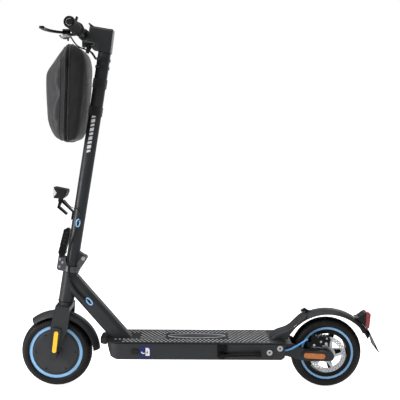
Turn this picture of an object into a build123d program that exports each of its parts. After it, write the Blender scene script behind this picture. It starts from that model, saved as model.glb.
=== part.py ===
from build123d import *

import os
from math import cos, pi, radians, sin, tan

# Electric kick scooter in millimetres. +X points to the rear, -Y is the rider's left, +Z is up.
# The origin is on the floor, below the middle of the scooter's length.

# ---- driving sizes ----
tyre_radius = 108.0
tyre_width = 50.0
wheelbase = 827.3
rear_overhang = 161.1        # rear axle to the tip of the mud flap
rake = 9.4                   # the steering axis leans back, degrees
axle_lead = 3.7              # the front axle lies ahead of the steering axis
fit = 0.05                   # radial clearance of axles, pins and bores
gap = 0.3                    # clearance between neighbouring covers
joint_gap = 0.6              # clearance between surfaces that slide past each other

# wheels
bead_radius = 67.0
flange_radius = 72.0
ring_outer = 81.0            # coloured trim ring beside the tyre bead
ring_face = 20.0             # its outer face, from the wheel's middle
neck_half = 16.6             # half width of the tyre between the rim flanges
tyre_wall = 4.0
axle_radius = 6.0
hub_half = 26.0
nut_radius = 9.0
nut_height = 4.0

# fork and rear arms
arm_inner = 38.0             # inner faces of the fork legs and of the rear arms
arm_outer = 50.0
cover_thickness = 7.0
reflector_thickness = 1.6

# steering head
head_radius = 23.5
head_bottom = 158.3
head_top = 249.0
steerer_radius = 14.0
bearing_radius = 20.0
bearing_height = 8.0
crown_bottom = 136.0

# down tube
down_tube_depth = 51.0
down_tube_width = 46.0
down_tube_wall = 3.0
down_tube_angle = 49.2       # below the horizontal

# deck
deck_half_width = 74.0
deck_top = 150.0
deck_bottom = 101.0
deck_wall = 3.0
deck_nose_x = 158.0          # behind the front axle
socket_radius = 8.0
socket_bore = 4.0
deck_end_gap = 134.3         # ahead of the rear axle
mat_thickness = 3.5
mat_half_width = 72.0
cover_plate = 2.5

# stem
stem_radius = 19.0
stem_wall = 2.5
stem_bottom = 269.0
stem_top = 915.0
head_height = 983.0
hinge_back = 34.7            # fold hinge behind the steering axis
hinge_height = 298.7
hinge_pin_radius = 3.0
hinge_eye_radius = 8.0
foot_sweep = 53.5            # the stem foot turns inside this radius about the hinge
latch_back = -33.9
latch_height = 305.3
latch_pin_radius = 2.5

# handlebar
bar_back = -66.2
bar_height = 956.0
bar_radius = 11.0
bar_half_length = 234.0
grip_radius = 15.8
grip_length = 116.0
bar_cap = 1.0                # grip rubber beyond the end of the bar

# brake rotor
rotor_radius = 55.0
rotor_thickness = 1.8
rotor_y = -33.0

# ---- derived places ----
front_x = -(wheelbase + rear_overhang - tyre_radius) / 2
rear_x = front_x + wheelbase
axle_z = tyre_radius
deck_front = front_x + deck_nose_x
deck_rear = rear_x - deck_end_gap
mat_top = deck_top + mat_thickness
socket_x = deck_front + 89
socket_z = deck_bottom + 27.5
steer_dir = Vector(sin(radians(rake)), 0, cos(radians(rake)))
back_dir = Vector(cos(radians(rake)), 0, -sin(radians(rake)))
steer_foot = Vector(front_x + axle_lead, 0, axle_z)


def steer_point(back, side, height):
    """A point given behind, beside and along the steering axis."""
    return steer_foot + back_dir * back + Vector(0, side, 0) + steer_dir * height


def steer_level(height, back=0.0, side=0.0):
    """A plane square to the steering axis; its x points back."""
    return Plane(origin=steer_point(back, side, height), x_dir=back_dir, z_dir=steer_dir)


def steer_side(side=0.0):
    """An upright plane along the steering axis; x points back, y along the axis, normal to the left."""
    return Plane(origin=steer_point(0, side, 0), x_dir=back_dir, z_dir=(0, -1, 0))


def side_plane(x, z, side=0.0):
    """An upright plane facing left through a point; x points back, y up."""
    return Plane(origin=(x, side, z), x_dir=(1, 0, 0), z_dir=(0, -1, 0))


def wheel_plane(axle_x):
    """A plane through an axle: x is the radius behind the axle, y runs along the axle."""
    return Plane(origin=(axle_x, 0, axle_z))


def axle_axis(axle_x):
    return Axis((axle_x, 0, axle_z), (0, 1, 0))


def save(builder, name):
    builder.part.label = name
    export_step(builder.part, f"parts/{name}.step")


def cord_radii(points):
    """The largest tangent arc that each corner's two runs leave room for."""
    radii = []
    for before, corner, after in zip(points, points[1:], points[2:]):
        arriving = corner - before
        leaving = after - corner
        half_turn = radians(arriving.get_angle(leaving)) / 2
        radii.append(0.45 * min(arriving.length, leaving.length) / tan(half_turn))
    return radii


def cord_path(points):
    with BuildLine() as path:
        FilletPolyline(*points, radius=cord_radii(points))
    return path.wires()[0]


def cord_tube(name, points, diameter):
    """A round cord along straight runs joined by tangent arcs."""
    path = cord_path(points)
    with BuildPart() as tube:
        with BuildLine():
            add(path)
        with BuildSketch(Plane(origin=path @ 0, z_dir=path % 0)):
            Circle(diameter / 2)
        sweep()
    expected = pi * diameter**2 / 4 * path.length
    radii = ", ".join(f"{radius:.0f}" for radius in cord_radii(points))
    ratio = tube.part.volume / expected
    print(f"{name}: length {path.length:.0f} mm, volume ratio {ratio:.4f}, radii {radii}")
    return tube.part


os.makedirs("parts", exist_ok=True)

# ================= wheels =================


def make_tyre(axle_x, name):
    crown = 18.0
    with BuildPart() as tyre:
        with BuildSketch(wheel_plane(axle_x)):
            with Locations((tyre_radius - crown, 0)):
                Ellipse(crown, tyre_width / 2)
            with Locations(((bead_radius + tyre_radius - crown) / 2, 0)):
                Rectangle(tyre_radius - crown - bead_radius, 2 * neck_half)
            for side in (-1, 1):
                seat_y = side * (neck_half + tyre_width / 2)
                with Locations(((bead_radius + ring_outer + gap) / 2, seat_y)):
                    Rectangle(ring_outer + gap - bead_radius, tyre_width, mode=Mode.SUBTRACT)
            with Locations((tyre_radius - crown, 0)):
                Ellipse(crown - tyre_wall, tyre_width / 2 - tyre_wall, mode=Mode.SUBTRACT)
            with Locations(((bead_radius + tyre_radius - crown) / 2, 0)):
                neck_length = tyre_radius - crown - bead_radius + 2 * tyre_wall
                Rectangle(neck_length, 2 * (neck_half - tyre_wall), mode=Mode.SUBTRACT)
        revolve(axis=axle_axis(axle_x))
    save(tyre, name)


def make_trim_ring(axle_x, name, inner):
    with BuildPart() as ring:
        with BuildSketch(wheel_plane(axle_x)):
            width = ring_face - neck_half - gap
            for side in (-1, 1):
                with Locations(((inner + ring_outer) / 2, side * (ring_face - width / 2))):
                    Rectangle(ring_outer - inner, width)
        revolve(axis=axle_axis(axle_x))
    save(ring, name)


def rim_section():
    """The barrel under the tyre bead, with a flange on each side."""
    barrel_wall = 5.0
    with Locations((bead_radius - gap - barrel_wall / 2, 0)):
        Rectangle(barrel_wall, 2 * ring_face)
    for side in (-1, 1):
        width = ring_face - neck_half - gap
        with Locations(((bead_radius + flange_radius) / 2 - 1, side * (ring_face - width / 2))):
            Rectangle(flange_radius - bead_radius + 2, width)


make_tyre(front_x, "front_tyre")
make_tyre(rear_x, "rear_tyre")
make_trim_ring(front_x, "front_rim_ring", flange_radius + gap)
make_trim_ring(rear_x, "rear_rim_ring", flange_radius + 2.5)

# hub motor: a closed drum that turns on the fixed axle, around the stator
motor_face = 22.5
motor_boss_radius = 20.0
screw_circle = 59.5
screw_head_radius = 2.6
motor_cavity_radius = 58.0
motor_cavity_half = 17.0
with BuildPart() as hub_motor:
    with BuildSketch(wheel_plane(front_x)):
        rim_section()
        with Locations(((axle_radius + fit + bead_radius - gap) / 2, 0)):
            Rectangle(bead_radius - gap - axle_radius - fit, 2 * motor_face)
        with Locations(((axle_radius + fit + motor_boss_radius) / 2, 0)):
            Rectangle(motor_boss_radius - axle_radius - fit, 2 * hub_half)
        with Locations(((axle_radius + motor_cavity_radius) / 2, 0)):
            Rectangle(motor_cavity_radius - axle_radius, 2 * motor_cavity_half, mode=Mode.SUBTRACT)
    revolve(axis=axle_axis(front_x))
    on_face = hub_motor.edges().filter_by(GeomType.CIRCLE).filter_by(
        lambda edge: abs(abs(edge.center().Y) - motor_face) < 0.01
    )
    chamfer(on_face.filter_by(lambda edge: edge.radius > bead_radius - 1), length=2.0)
    for side in (-1, 1):
        with Locations(Plane(origin=(front_x, side * motor_face, axle_z), z_dir=(0, side, 0))):
            with PolarLocations(screw_circle, 6, start_angle=30):
                Hole(screw_head_radius + gap, depth=2.0)
save(hub_motor, "hub_motor")

with BuildPart() as motor_screws:
    for side in (-1, 1):
        with BuildSketch(Plane(origin=(front_x, side * (motor_face - 2.0), axle_z), z_dir=(0, side, 0))):
            with PolarLocations(screw_circle, 6, start_angle=30):
                Circle(screw_head_radius)
                RegularPolygon(1.2, 6, mode=Mode.SUBTRACT)
        extrude(amount=1.2)
save(motor_screws, "motor_screws")

stator_radius = 52.0
stator_half = 13.0
with BuildPart() as front_axle:
    with BuildSketch(side_plane(front_x, axle_z)):
        Circle(axle_radius)
    extrude(amount=arm_outer + nut_height + 1, both=True)
    with BuildSketch(side_plane(front_x, axle_z)):
        Circle(stator_radius)
        with PolarLocations(stator_radius - 6, 18):
            Rectangle(14, 3, mode=Mode.SUBTRACT)
    extrude(amount=stator_half, both=True)
    for side in (-1, 1):
        with BuildSketch(Plane(origin=(front_x, side * arm_outer, axle_z), z_dir=(0, side, 0))):
            RegularPolygon(nut_radius, 6)
        extrude(amount=nut_height)
save(front_axle, "front_axle")

# rear wheel: spoked rim on two bearings
rear_hub_radius = 24.0
wheel_bearing_radius = 14.0
wheel_bearing_width = 8.0
spoke_half = 7.0
rear_hub_left = rotor_y + rotor_thickness / 2 + fit
rear_hub_right = 30.0
with BuildPart() as rear_rim:
    with BuildSketch(wheel_plane(rear_x)):
        rim_section()
    revolve(axis=axle_axis(rear_x))
    with BuildSketch(side_plane(rear_x, axle_z, rear_hub_right)):
        Circle(rear_hub_radius)
    extrude(amount=rear_hub_right - rear_hub_left)
    with BuildSketch(side_plane(rear_x, axle_z)):
        with PolarLocations((rear_hub_radius + bead_radius - gap) / 2 - 1, 5):
            Rectangle(bead_radius - gap - rear_hub_radius, 15)
    extrude(amount=spoke_half, both=True)
    with BuildSketch(side_plane(rear_x, axle_z)):
        Circle(axle_radius + 2)
    extrude(amount=hub_half + ring_face, both=True, mode=Mode.SUBTRACT)
    for side, end in ((-1, rear_hub_left), (1, rear_hub_right)):
        with BuildSketch(Plane(origin=(rear_x, end, axle_z), z_dir=(0, -side, 0))):
            Circle(wheel_bearing_radius + fit)
        extrude(amount=wheel_bearing_width + 1, mode=Mode.SUBTRACT)
save(rear_rim, "rear_rim")

with BuildPart() as rear_wheel_bearings:
    for side, end in ((-1, rear_hub_left), (1, rear_hub_right)):
        with BuildSketch(Plane(origin=(rear_x, end - side, axle_z), z_dir=(0, -side, 0))):
            Circle(wheel_bearing_radius)
            Circle(axle_radius + fit, mode=Mode.SUBTRACT)
        extrude(amount=wheel_bearing_width)
save(rear_wheel_bearings, "rear_wheel_bearings")

with BuildPart() as rear_axle:
    with BuildSketch(side_plane(rear_x, axle_z)):
        Circle(axle_radius)
    extrude(amount=arm_outer + nut_height + 1, both=True)
    for side in (-1, 1):
        with BuildSketch(Plane(origin=(rear_x, side * arm_outer, axle_z), z_dir=(0, side, 0))):
            RegularPolygon(nut_radius, 6)
        extrude(amount=nut_height)
    for side, end in ((-1, rear_hub_left), (1, rear_hub_right)):
        with BuildSketch(Plane(origin=(rear_x, end - side, axle_z), z_dir=(0, side, 0))):
            Circle(axle_radius + 2.5)
        extrude(amount=arm_inner - fit - abs(end - side))
save(rear_axle, "rear_axle")

# rotor: perforated ring on bent arms, held to the hub by five bolts
rotor_ring_width = 13.0
rotor_bolt_circle = 19.0
with BuildPart() as brake_rotor:
    with BuildSketch(side_plane(rear_x, axle_z, rotor_y)):
        Circle(rotor_radius)
        Circle(rotor_radius - rotor_ring_width, mode=Mode.SUBTRACT)
        Circle(rear_hub_radius)
        with PolarLocations((rear_hub_radius + rotor_radius - rotor_ring_width) / 2, 5):
            Rectangle(rotor_radius - rotor_ring_width - rear_hub_radius + 6, 8, rotation=20)
        with PolarLocations(rotor_radius - 4, 30):
            Circle(1.6, mode=Mode.SUBTRACT)
        with PolarLocations(rotor_radius - 9, 30, start_angle=6):
            Circle(1.6, mode=Mode.SUBTRACT)
        Circle(axle_radius + 4, mode=Mode.SUBTRACT)
    extrude(amount=rotor_thickness / 2, both=True)
    with BuildSketch(side_plane(rear_x, axle_z, rotor_y - rotor_thickness / 2)):
        with PolarLocations(rotor_bolt_circle - 2, 5, start_angle=36):
            Circle(3.2)
            RegularPolygon(1.6, 6, mode=Mode.SUBTRACT)
    extrude(amount=1.6)
save(brake_rotor, "brake_rotor")


# ================= steering body: fork, fender, folding base =================

with BuildPart() as fork:
    with BuildSketch(steer_side()) as leg_profile:
        with BuildLine():
            left = Spline((-22, 150), (-25.5, 100), (-25, 66), (-17, 34), (-14.5, 4))
            right = Spline((20, 150), (24, 110), (22.5, 74), (12, 36), (7.5, 4))
            Line(left @ 0, right @ 0)
            Line(left @ 1, right @ 1)
        make_face()
        with Locations((-axle_lead, 0)):
            Circle(13)
    extrude(amount=arm_outer, both=True)
    with BuildSketch(steer_side()):
        with Locations((0, crown_bottom / 2 - 20)):
            Rectangle(120, crown_bottom + 40)
    extrude(amount=arm_inner, both=True, mode=Mode.SUBTRACT)
    with BuildSketch(steer_level(crown_bottom + 4)):
        RectangleRounded(42.5, 2 * arm_outer - 1, 20)
    with BuildSketch(steer_level(head_bottom - joint_gap)):
        Circle(head_radius)
    loft()
    with BuildSketch(steer_level(head_bottom - 4)):
        Circle(steerer_radius)
    extrude(amount=head_top + 17 - head_bottom + 4)
    with BuildSketch(side_plane(front_x, axle_z)):
        Circle(axle_radius + fit)
    extrude(amount=2 * arm_outer, both=True, mode=Mode.SUBTRACT)
save(fork, "fork")

cover_top = 84.0
cover_bottom = -17.0
with BuildPart() as fork_covers:
    for side in (-1, 1):
        start = side * (arm_outer + gap)
        with BuildSketch(Plane(origin=steer_point(0, start, 0), x_dir=back_dir, z_dir=(0, -1, 0))) as outline:
            with BuildLine():
                Polyline((-22, cover_top), (8, cover_top), (5, cover_bottom), (-13, cover_bottom), close=True)
            make_face()
            fillet(outline.vertices(), radius=8)
        extrude(amount=-side * cover_thickness)
        with BuildSketch(side_plane(front_x, axle_z, start)):
            Circle(nut_radius + 1)
        extrude(amount=-side * (nut_height + 1.5), mode=Mode.SUBTRACT)
save(fork_covers, "fork_covers")

with BuildPart() as fork_reflectors:
    for side in (-1, 1):
        start = side * (arm_outer + 2 * gap + cover_thickness)
        with BuildSketch(Plane(origin=steer_point(0, start, 0), x_dir=back_dir, z_dir=(0, -1, 0))):
            with Locations((-4.5, 42)):
                SlotOverall(66, 12.5, rotation=92)
        extrude(amount=-side * reflector_thickness)
save(fork_reflectors, "fork_reflectors")

fender_wall = 2.5


def fender_arch(centre_x, centre_z, crown_r, skirt_r, half_width, start_angle, sweep_angle):
    """An arched mudguard swept forwards about its centre from the start angle above the rear."""
    angle = radians(start_angle)
    radial = (cos(angle), 0, sin(angle))
    onward = (-sin(angle), 0, cos(angle))
    plane = Plane(origin=(centre_x, 0, centre_z), x_dir=radial, z_dir=onward)
    with BuildPart() as arch:
        with BuildSketch(plane):
            with BuildLine():
                outer = ThreePointArc((skirt_r, -half_width), (crown_r, 0), (skirt_r, half_width))
                inner_half = half_width - fender_wall
                inner_crown = (crown_r - fender_wall, 0)
                inner = ThreePointArc((skirt_r, -inner_half), inner_crown, (skirt_r, inner_half))
                Line(outer @ 0, inner @ 0)
                Line(outer @ 1, inner @ 1)
            make_face()
        revolve(axis=Axis((centre_x, 0, centre_z), (0, -1, 0)), revolution_arc=sweep_angle)
    return arch.part


front_fender_x = front_x + 3.8
front_fender_z = axle_z - 2.1
front_fender_crown = 129.0
with BuildPart() as front_fender:
    add(fender_arch(front_fender_x, front_fender_z, front_fender_crown, 112.0, 29.5, 4.0, 123.0))
    with BuildSketch(steer_level(crown_bottom - gap)):
        RectangleRounded(30, 34, 4)
    extrude(amount=-16)
    with BuildSketch(side_plane(front_fender_x, front_fender_z)):
        Circle(front_fender_crown - fender_wall - 4)
    extrude(amount=17, both=True, mode=Mode.SUBTRACT)
save(front_fender, "front_fender")

# folding base: collar clamped on the steerer, curved seat and lug in front, hinge ears behind
collar_bottom = head_top + 1.5
collar_top = stem_bottom - gap
lug_half = 8.0
ear_inner = 12.0
ear_outer = 17.5
with BuildPart() as folding_base:
    with BuildSketch(steer_level(collar_bottom)):
        Circle(head_radius)
    extrude(amount=collar_top - collar_bottom)
    with BuildSketch(steer_side()) as seat:
        with BuildLine():
            Polyline(
                (-36, collar_bottom), (-41, 256), (-41, 291.5), (-12, 291.5), (-5, collar_bottom),
                close=True,
            )
        make_face()
        with Locations((hinge_back, hinge_height)):
            Circle(foot_sweep + joint_gap, mode=Mode.SUBTRACT)
    extrude(amount=ear_outer, both=True)
    with BuildSketch(steer_side()):
        with Locations((latch_back, latch_height)):
            Circle(9)
        with BuildLine():
            Polyline((-42, 270), (latch_back - 9, latch_height), (-25, latch_height), (-26, 270), close=True)
        make_face()
    extrude(amount=lug_half, both=True)
    for side in (-1, 1):
        with BuildSketch(steer_side(side * ear_inner)):
            with BuildLine():
                Polyline(
                    (19.6, 255), (24, 255), (hinge_back + 7, 294), (hinge_back - 6, 304), (19.6, 284),
                    close=True,
                )
            make_face()
            with Locations((hinge_back, hinge_height)):
                Circle(hinge_eye_radius)
        extrude(amount=-side * (ear_outer - ear_inner))
    with BuildSketch(steer_level(collar_bottom)):
        with Locations((17, 0)):
            Rectangle(14, 2 * ear_outer)
    extrude(amount=collar_top - collar_bottom)
    with BuildSketch(steer_level(collar_bottom - 1)):
        Circle(steerer_radius + fit)
    extrude(amount=collar_top - collar_bottom + 2, mode=Mode.SUBTRACT)
    with BuildSketch(steer_side()):
        with Locations((hinge_back, hinge_height)):
            Circle(hinge_pin_radius + fit)
        with Locations((latch_back, latch_height)):
            Circle(latch_pin_radius + fit)
    extrude(amount=head_radius + 5, both=True, mode=Mode.SUBTRACT)
save(folding_base, "folding_base")

with BuildPart() as fold_pin:
    with BuildSketch(steer_side()):
        with Locations((hinge_back, hinge_height)):
            Circle(hinge_pin_radius)
    extrude(amount=ear_outer + 2.5, both=True)
    for side in (-1, 1):
        with BuildSketch(steer_side(side * (ear_outer + gap))):
            with Locations((hinge_back, hinge_height)):
                Circle(hinge_eye_radius - 2)
        extrude(amount=-side * 2.2)
save(fold_pin, "fold_pin")

# ================= frame =================

tube_top_x = front_x + 67.7
tube_top_z = 342.7
tube_dir = Vector(cos(radians(down_tube_angle)), 0, -sin(radians(down_tube_angle)))
tube_up = Vector(sin(radians(down_tube_angle)), 0, cos(radians(down_tube_angle)))
tube_start = Vector(tube_top_x, 0, tube_top_z) - tube_up * (down_tube_depth / 2) - tube_dir * 30
tube_reach = (tube_start.Z - deck_top) / sin(radians(down_tube_angle)) + down_tube_depth
tube_plane = Plane(origin=tube_start, x_dir=tube_up, z_dir=tube_dir)
frame_wall_r = 15.0
with BuildPart() as neck_frame:
    with BuildSketch(tube_plane):
        RectangleRounded(down_tube_depth, down_tube_width, frame_wall_r)
    extrude(amount=tube_reach)
    with BuildSketch(Plane.XY.offset(deck_top)):
        with Locations((front_x + 200, 0)):
            Rectangle(400, 200)
    extrude(amount=-200, mode=Mode.SUBTRACT)
    with BuildSketch(steer_side()):
        with Locations((-50, head_bottom)):
            Rectangle(100, 300)
    extrude(amount=100, both=True, mode=Mode.SUBTRACT)
    with BuildSketch(steer_level(head_top)):
        Circle(4 * head_radius)
    extrude(amount=head_top, mode=Mode.SUBTRACT)
    with BuildSketch(tube_plane):
        hollow_depth = down_tube_depth - 2 * down_tube_wall
        hollow_width = down_tube_width - 2 * down_tube_wall
        RectangleRounded(hollow_depth, hollow_width, frame_wall_r - down_tube_wall)
    extrude(amount=tube_reach, mode=Mode.SUBTRACT)
    with BuildSketch(steer_level(head_bottom)):
        Circle(head_radius)
    extrude(amount=head_top - head_bottom)
    with BuildSketch(steer_level(head_bottom - 30)):
        Circle(steerer_radius + 2)
    extrude(amount=head_top - head_bottom + 60, mode=Mode.SUBTRACT)
    for end, direction in ((head_bottom, 1), (head_top, -1)):
        with BuildSketch(steer_level(end)):
            Circle(bearing_radius + fit)
        extrude(amount=direction * (bearing_height + gap), mode=Mode.SUBTRACT)
save(neck_frame, "neck_frame")

with BuildPart() as headset_bearings:
    for end, direction in ((head_bottom + gap, 1), (head_top - gap, -1)):
        with BuildSketch(steer_level(end)):
            Circle(bearing_radius)
            Circle(steerer_radius + fit, mode=Mode.SUBTRACT)
        extrude(amount=direction * bearing_height)
save(headset_bearings, "headset_bearings")

# deck shell: an open-bottomed tray with a rounded nose
nose_round = 45.0
nose_bottom_x = deck_front + 36
deck_height = deck_top - deck_bottom
with BuildPart() as deck_shell:
    with BuildSketch(Plane.XY.offset(deck_bottom)) as plan:
        with Locations(((deck_front + deck_rear) / 2, 0)):
            Rectangle(deck_rear - deck_front, 2 * deck_half_width)
        fillet(plan.vertices().sort_by(Axis.X)[:2], radius=nose_round)
    extrude(amount=deck_height)
    with BuildSketch(Plane.XZ):
        with BuildLine():
            Polyline(
                (deck_front - 10, deck_top - 6), (deck_front + 2, deck_top - 6),
                (deck_front + 14, deck_bottom + 9), (nose_bottom_x, deck_bottom),
                (nose_bottom_x, deck_bottom - 20), (deck_front - 10, deck_bottom - 20),
                close=True,
            )
        make_face()
    extrude(amount=deck_half_width + 5, both=True, mode=Mode.SUBTRACT)
    with BuildSketch(Plane.XZ):
        with BuildLine():
            Polyline(
                (deck_rear, deck_bottom + 10), (deck_rear - 11, deck_bottom), (deck_rear, deck_bottom),
                close=True,
            )
        make_face()
    extrude(amount=deck_half_width + 5, both=True, mode=Mode.SUBTRACT)
    bottom_sides = deck_shell.edges().filter_by(Axis.X).group_by(Axis.Z)[0]
    fillet(bottom_sides, radius=8)
    tray_front = nose_bottom_x + 3
    tray_rear = deck_rear - 12
    with BuildSketch(Plane.XY.offset(deck_bottom + cover_plate)):
        with Locations(((tray_front + tray_rear) / 2, 0)):
            RectangleRounded(tray_rear - tray_front, 2 * (deck_half_width - deck_wall), 6)
    extrude(amount=deck_height - cover_plate - deck_wall, mode=Mode.SUBTRACT)
    with BuildSketch(Plane.XY.offset(deck_bottom - 1)):
        with Locations(((tray_front + tray_rear) / 2, 0)):
            RectangleRounded(tray_rear - tray_front, 2 * (deck_half_width - 11), 6)
    extrude(amount=cover_plate + 2, mode=Mode.SUBTRACT)
    with BuildSketch(side_plane(socket_x, socket_z, -deck_half_width - 2)):
        Circle(socket_radius + fit)
    extrude(amount=-deck_wall - 4, mode=Mode.SUBTRACT)
save(deck_shell, "deck_shell")

# rubber mat with a rounded bumper lip around the nose
lip_forward = 21.0
lip_half_width = 40.0
lip_bottom = deck_top - 11
lip_height = 17.0
with BuildPart() as deck_mat:
    with BuildSketch(Plane.XY.offset(deck_top)) as sheet:
        with Locations(((deck_front + deck_rear) / 2 - 2, 0)):
            Rectangle(deck_rear - deck_front + 2, 2 * mat_half_width)
        fillet(sheet.vertices().sort_by(Axis.X)[:2], radius=nose_round - 3)
    extrude(amount=mat_thickness)
    with BuildSketch(Plane.XY.offset(lip_bottom)) as lip:
        with Locations((deck_front - joint_gap - lip_forward / 2, 0)):
            Rectangle(lip_forward, 2 * lip_half_width)
        fillet(lip.vertices().sort_by(Axis.X)[:2], radius=20)
    extrude(amount=lip_height)
    fillet(deck_mat.edges().group_by(Axis.Z)[-1], radius=2)
    with BuildSketch(tube_plane):
        RectangleRounded(down_tube_depth + 2 * gap, down_tube_width + 2 * gap, frame_wall_r + gap)
    extrude(amount=tube_reach + 20, mode=Mode.SUBTRACT)
    with BuildSketch(Plane.XY.offset(deck_top)) as under_tube:
        with Locations((deck_front + 20, 0)):
            Rectangle(40, 50)
    extrude(amount=-50, mode=Mode.SUBTRACT)
save(deck_mat, "deck_mat")

cover_screw_inset = 12.0
cover_screw_radius = 4.0
cover_screw_pitch = (tray_rear - tray_front - 2 * cover_screw_inset) / 4
cover_screw_rows = 2 * (deck_half_width - 11 - cover_screw_inset)
with BuildPart() as battery_cover:
    with BuildSketch(Plane.XY.offset(deck_bottom)):
        with Locations(((tray_front + tray_rear) / 2, 0)):
            RectangleRounded(tray_rear - tray_front - 2 * gap, 2 * (deck_half_width - 11 - gap), 6)
    extrude(amount=cover_plate - gap)
    with BuildSketch(Plane.XY.offset(deck_bottom)):
        with Locations(((tray_front + tray_rear) / 2, 0)):
            with GridLocations(cover_screw_pitch, cover_screw_rows, 5, 2):
                Circle(cover_screw_radius + gap)
    extrude(amount=cover_plate, mode=Mode.SUBTRACT)
save(battery_cover, "battery_cover")

with BuildPart() as battery_cover_screws:
    with BuildSketch(Plane.XY.offset(deck_bottom + gap)):
        with Locations(((tray_front + tray_rear) / 2, 0)):
            with GridLocations(cover_screw_pitch, cover_screw_rows, 5, 2):
                Circle(cover_screw_radius)
                RegularPolygon(1.6, 6, mode=Mode.SUBTRACT)
    extrude(amount=cover_plate - 2 * gap)
save(battery_cover_screws, "battery_cover_screws")

battery_start = tray_front + 112
battery_end = tray_rear - 66
with BuildPart() as battery_pack:
    with BuildSketch(Plane.XY.offset(deck_bottom + cover_plate + gap)):
        with Locations(((battery_start + battery_end) / 2, 0)):
            RectangleRounded(battery_end - battery_start, 120, 4)
    extrude(amount=38)
save(battery_pack, "battery_pack")

with BuildPart() as motor_controller:
    with BuildSketch(Plane.XY.offset(deck_bottom + cover_plate + gap)):
        with Locations((battery_start - 8 - 38, 0)):
            RectangleRounded(76, 84, 3)
    extrude(amount=32)
    with BuildSketch(Plane.XY.offset(deck_bottom + cover_plate + gap + 32)):
        with Locations((battery_start - 8 - 38, 0)):
            with GridLocations(8, 0, 9, 1):
                Rectangle(3, 80)
    extrude(amount=6)
save(motor_controller, "motor_controller")

# charge socket in the left wall, under a hinged rubber cap
with BuildPart() as charge_socket:
    with BuildSketch(side_plane(socket_x, socket_z, -deck_half_width)):
        Circle(socket_radius)
    extrude(amount=-20)
    with BuildSketch(side_plane(socket_x, socket_z, -deck_half_width)):
        Circle(socket_bore)
    extrude(amount=-12, mode=Mode.SUBTRACT)
save(charge_socket, "charge_socket")

with BuildPart() as charge_cap:
    with BuildSketch(side_plane(socket_x, socket_z, -deck_half_width - gap)):
        SlotOverall(26, 17)
    extrude(amount=2.4)
    fillet(charge_cap.faces().sort_by(Axis.Y)[0].edges(), radius=1.0)
save(charge_cap, "charge_cap")

# rear fork: a cross block behind the deck and two arms
arm_height = 30.0
arm_drop = 2.5
with BuildPart() as rear_fork:
    with BuildSketch(Plane.XZ) as arm_profile:
        with BuildLine():
            Polyline(
                (deck_rear + gap, 108), (deck_rear + gap, 146), (deck_rear + 24, 146), (rear_x - 70, 128),
                (rear_x, axle_z + arm_height / 2), (rear_x, axle_z - arm_height / 2 + arm_drop),
                (rear_x - 84, 95), (deck_rear + 8, 108), close=True,
            )
        make_face()
        with Locations((rear_x, axle_z + 1)):
            Circle(14)
    extrude(amount=arm_outer, both=True)
    with BuildSketch(Plane.XZ):
        with Locations((rear_x, axle_z)):
            Circle(tyre_radius + 9)
    extrude(amount=arm_inner, both=True, mode=Mode.SUBTRACT)
    with BuildSketch(side_plane(rear_x, axle_z)):
        Circle(axle_radius + fit)
    extrude(amount=2 * arm_outer, both=True, mode=Mode.SUBTRACT)
save(rear_fork, "rear_fork")

bolt_places = ((deck_rear - 46.1, 126.9), (deck_rear - 15.0, 139.2))
bolt_head_radius = 8.5
with BuildPart() as rear_fork_bolts:
    for bolt_x, bolt_z in bolt_places:
        for side in (-1, 1):
            seat = (bolt_x, side * (deck_half_width + gap), bolt_z)
            with BuildSketch(Plane(origin=seat, z_dir=(0, side, 0))):
                Circle(bolt_head_radius)
                RegularPolygon(3.2, 6, mode=Mode.SUBTRACT)
            extrude(amount=3.2)
save(rear_fork_bolts, "rear_fork_bolts")

with BuildPart() as rear_fork_covers:
    for side in (-1, 1):
        start = side * (arm_outer + gap)
        with BuildSketch(side_plane(rear_x - 32, axle_z + 2, start)):
            SlotOverall(96, arm_height)
        extrude(amount=-side * cover_thickness)
        with BuildSketch(side_plane(rear_x, axle_z, start)):
            Circle(nut_radius + 1)
        extrude(amount=-side * (nut_height + 1.5), mode=Mode.SUBTRACT)
save(rear_fork_covers, "rear_fork_covers")

with BuildPart() as rear_reflectors:
    for side in (-1, 1):
        start = side * (arm_outer + 2 * gap + cover_thickness)
        with BuildSketch(side_plane(rear_x - 43, axle_z + 3, start)):
            SlotOverall(64, 16, rotation=-3)
        extrude(amount=-side * reflector_thickness)
save(rear_reflectors, "rear_reflectors")

# rear mudguard: an arch over the tyre that flows down to a tongue on the deck
rear_fender_x = rear_x + 0.4
rear_fender_z = axle_z - 13.5
rear_fender_crown = 149.6
rear_fender_skirt = 135.5
rear_fender_half = 31.0
tongue_tip = deck_rear - 36
with BuildPart() as rear_fender:
    with BuildSketch(Plane.XZ):
        with BuildLine() as tongue:
            top = Spline(
                (tongue_tip, mat_top + gap + 5), (rear_x - 148.6, 173.7), (rear_x - 120.5, 184.2),
                (rear_x - 90.2, 210.7), (rear_x - 62, 230.6),
            )
            Line(top @ 0, (tongue_tip, mat_top + gap))
            Line((tongue_tip, mat_top + gap), (rear_x - 104, mat_top + gap))
            Line((rear_x - 104, mat_top + gap), top @ 1)
        make_face()
    extrude(amount=rear_fender_half, both=True)
    tongue_sides = rear_fender.faces().sort_by(Axis.Y)
    crest = tongue_sides[0].edges() + tongue_sides[-1].edges()
    fillet(crest.filter_by(GeomType.BSPLINE), radius=13)
    with BuildSketch(side_plane(rear_fender_x, rear_fender_z)):
        Circle(rear_fender_crown - fender_wall - 6)
    extrude(amount=rear_fender_half - fender_wall, both=True, mode=Mode.SUBTRACT)
    with BuildSketch(side_plane(rear_fender_x, rear_fender_z)):
        Circle(rear_fender_skirt)
    extrude(amount=2 * rear_fender_half, both=True, mode=Mode.SUBTRACT)
    add(fender_arch(
        rear_fender_x, rear_fender_z, rear_fender_crown, rear_fender_skirt, rear_fender_half, 27.0, 102.0
    ))
save(rear_fender, "rear_fender")

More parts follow.
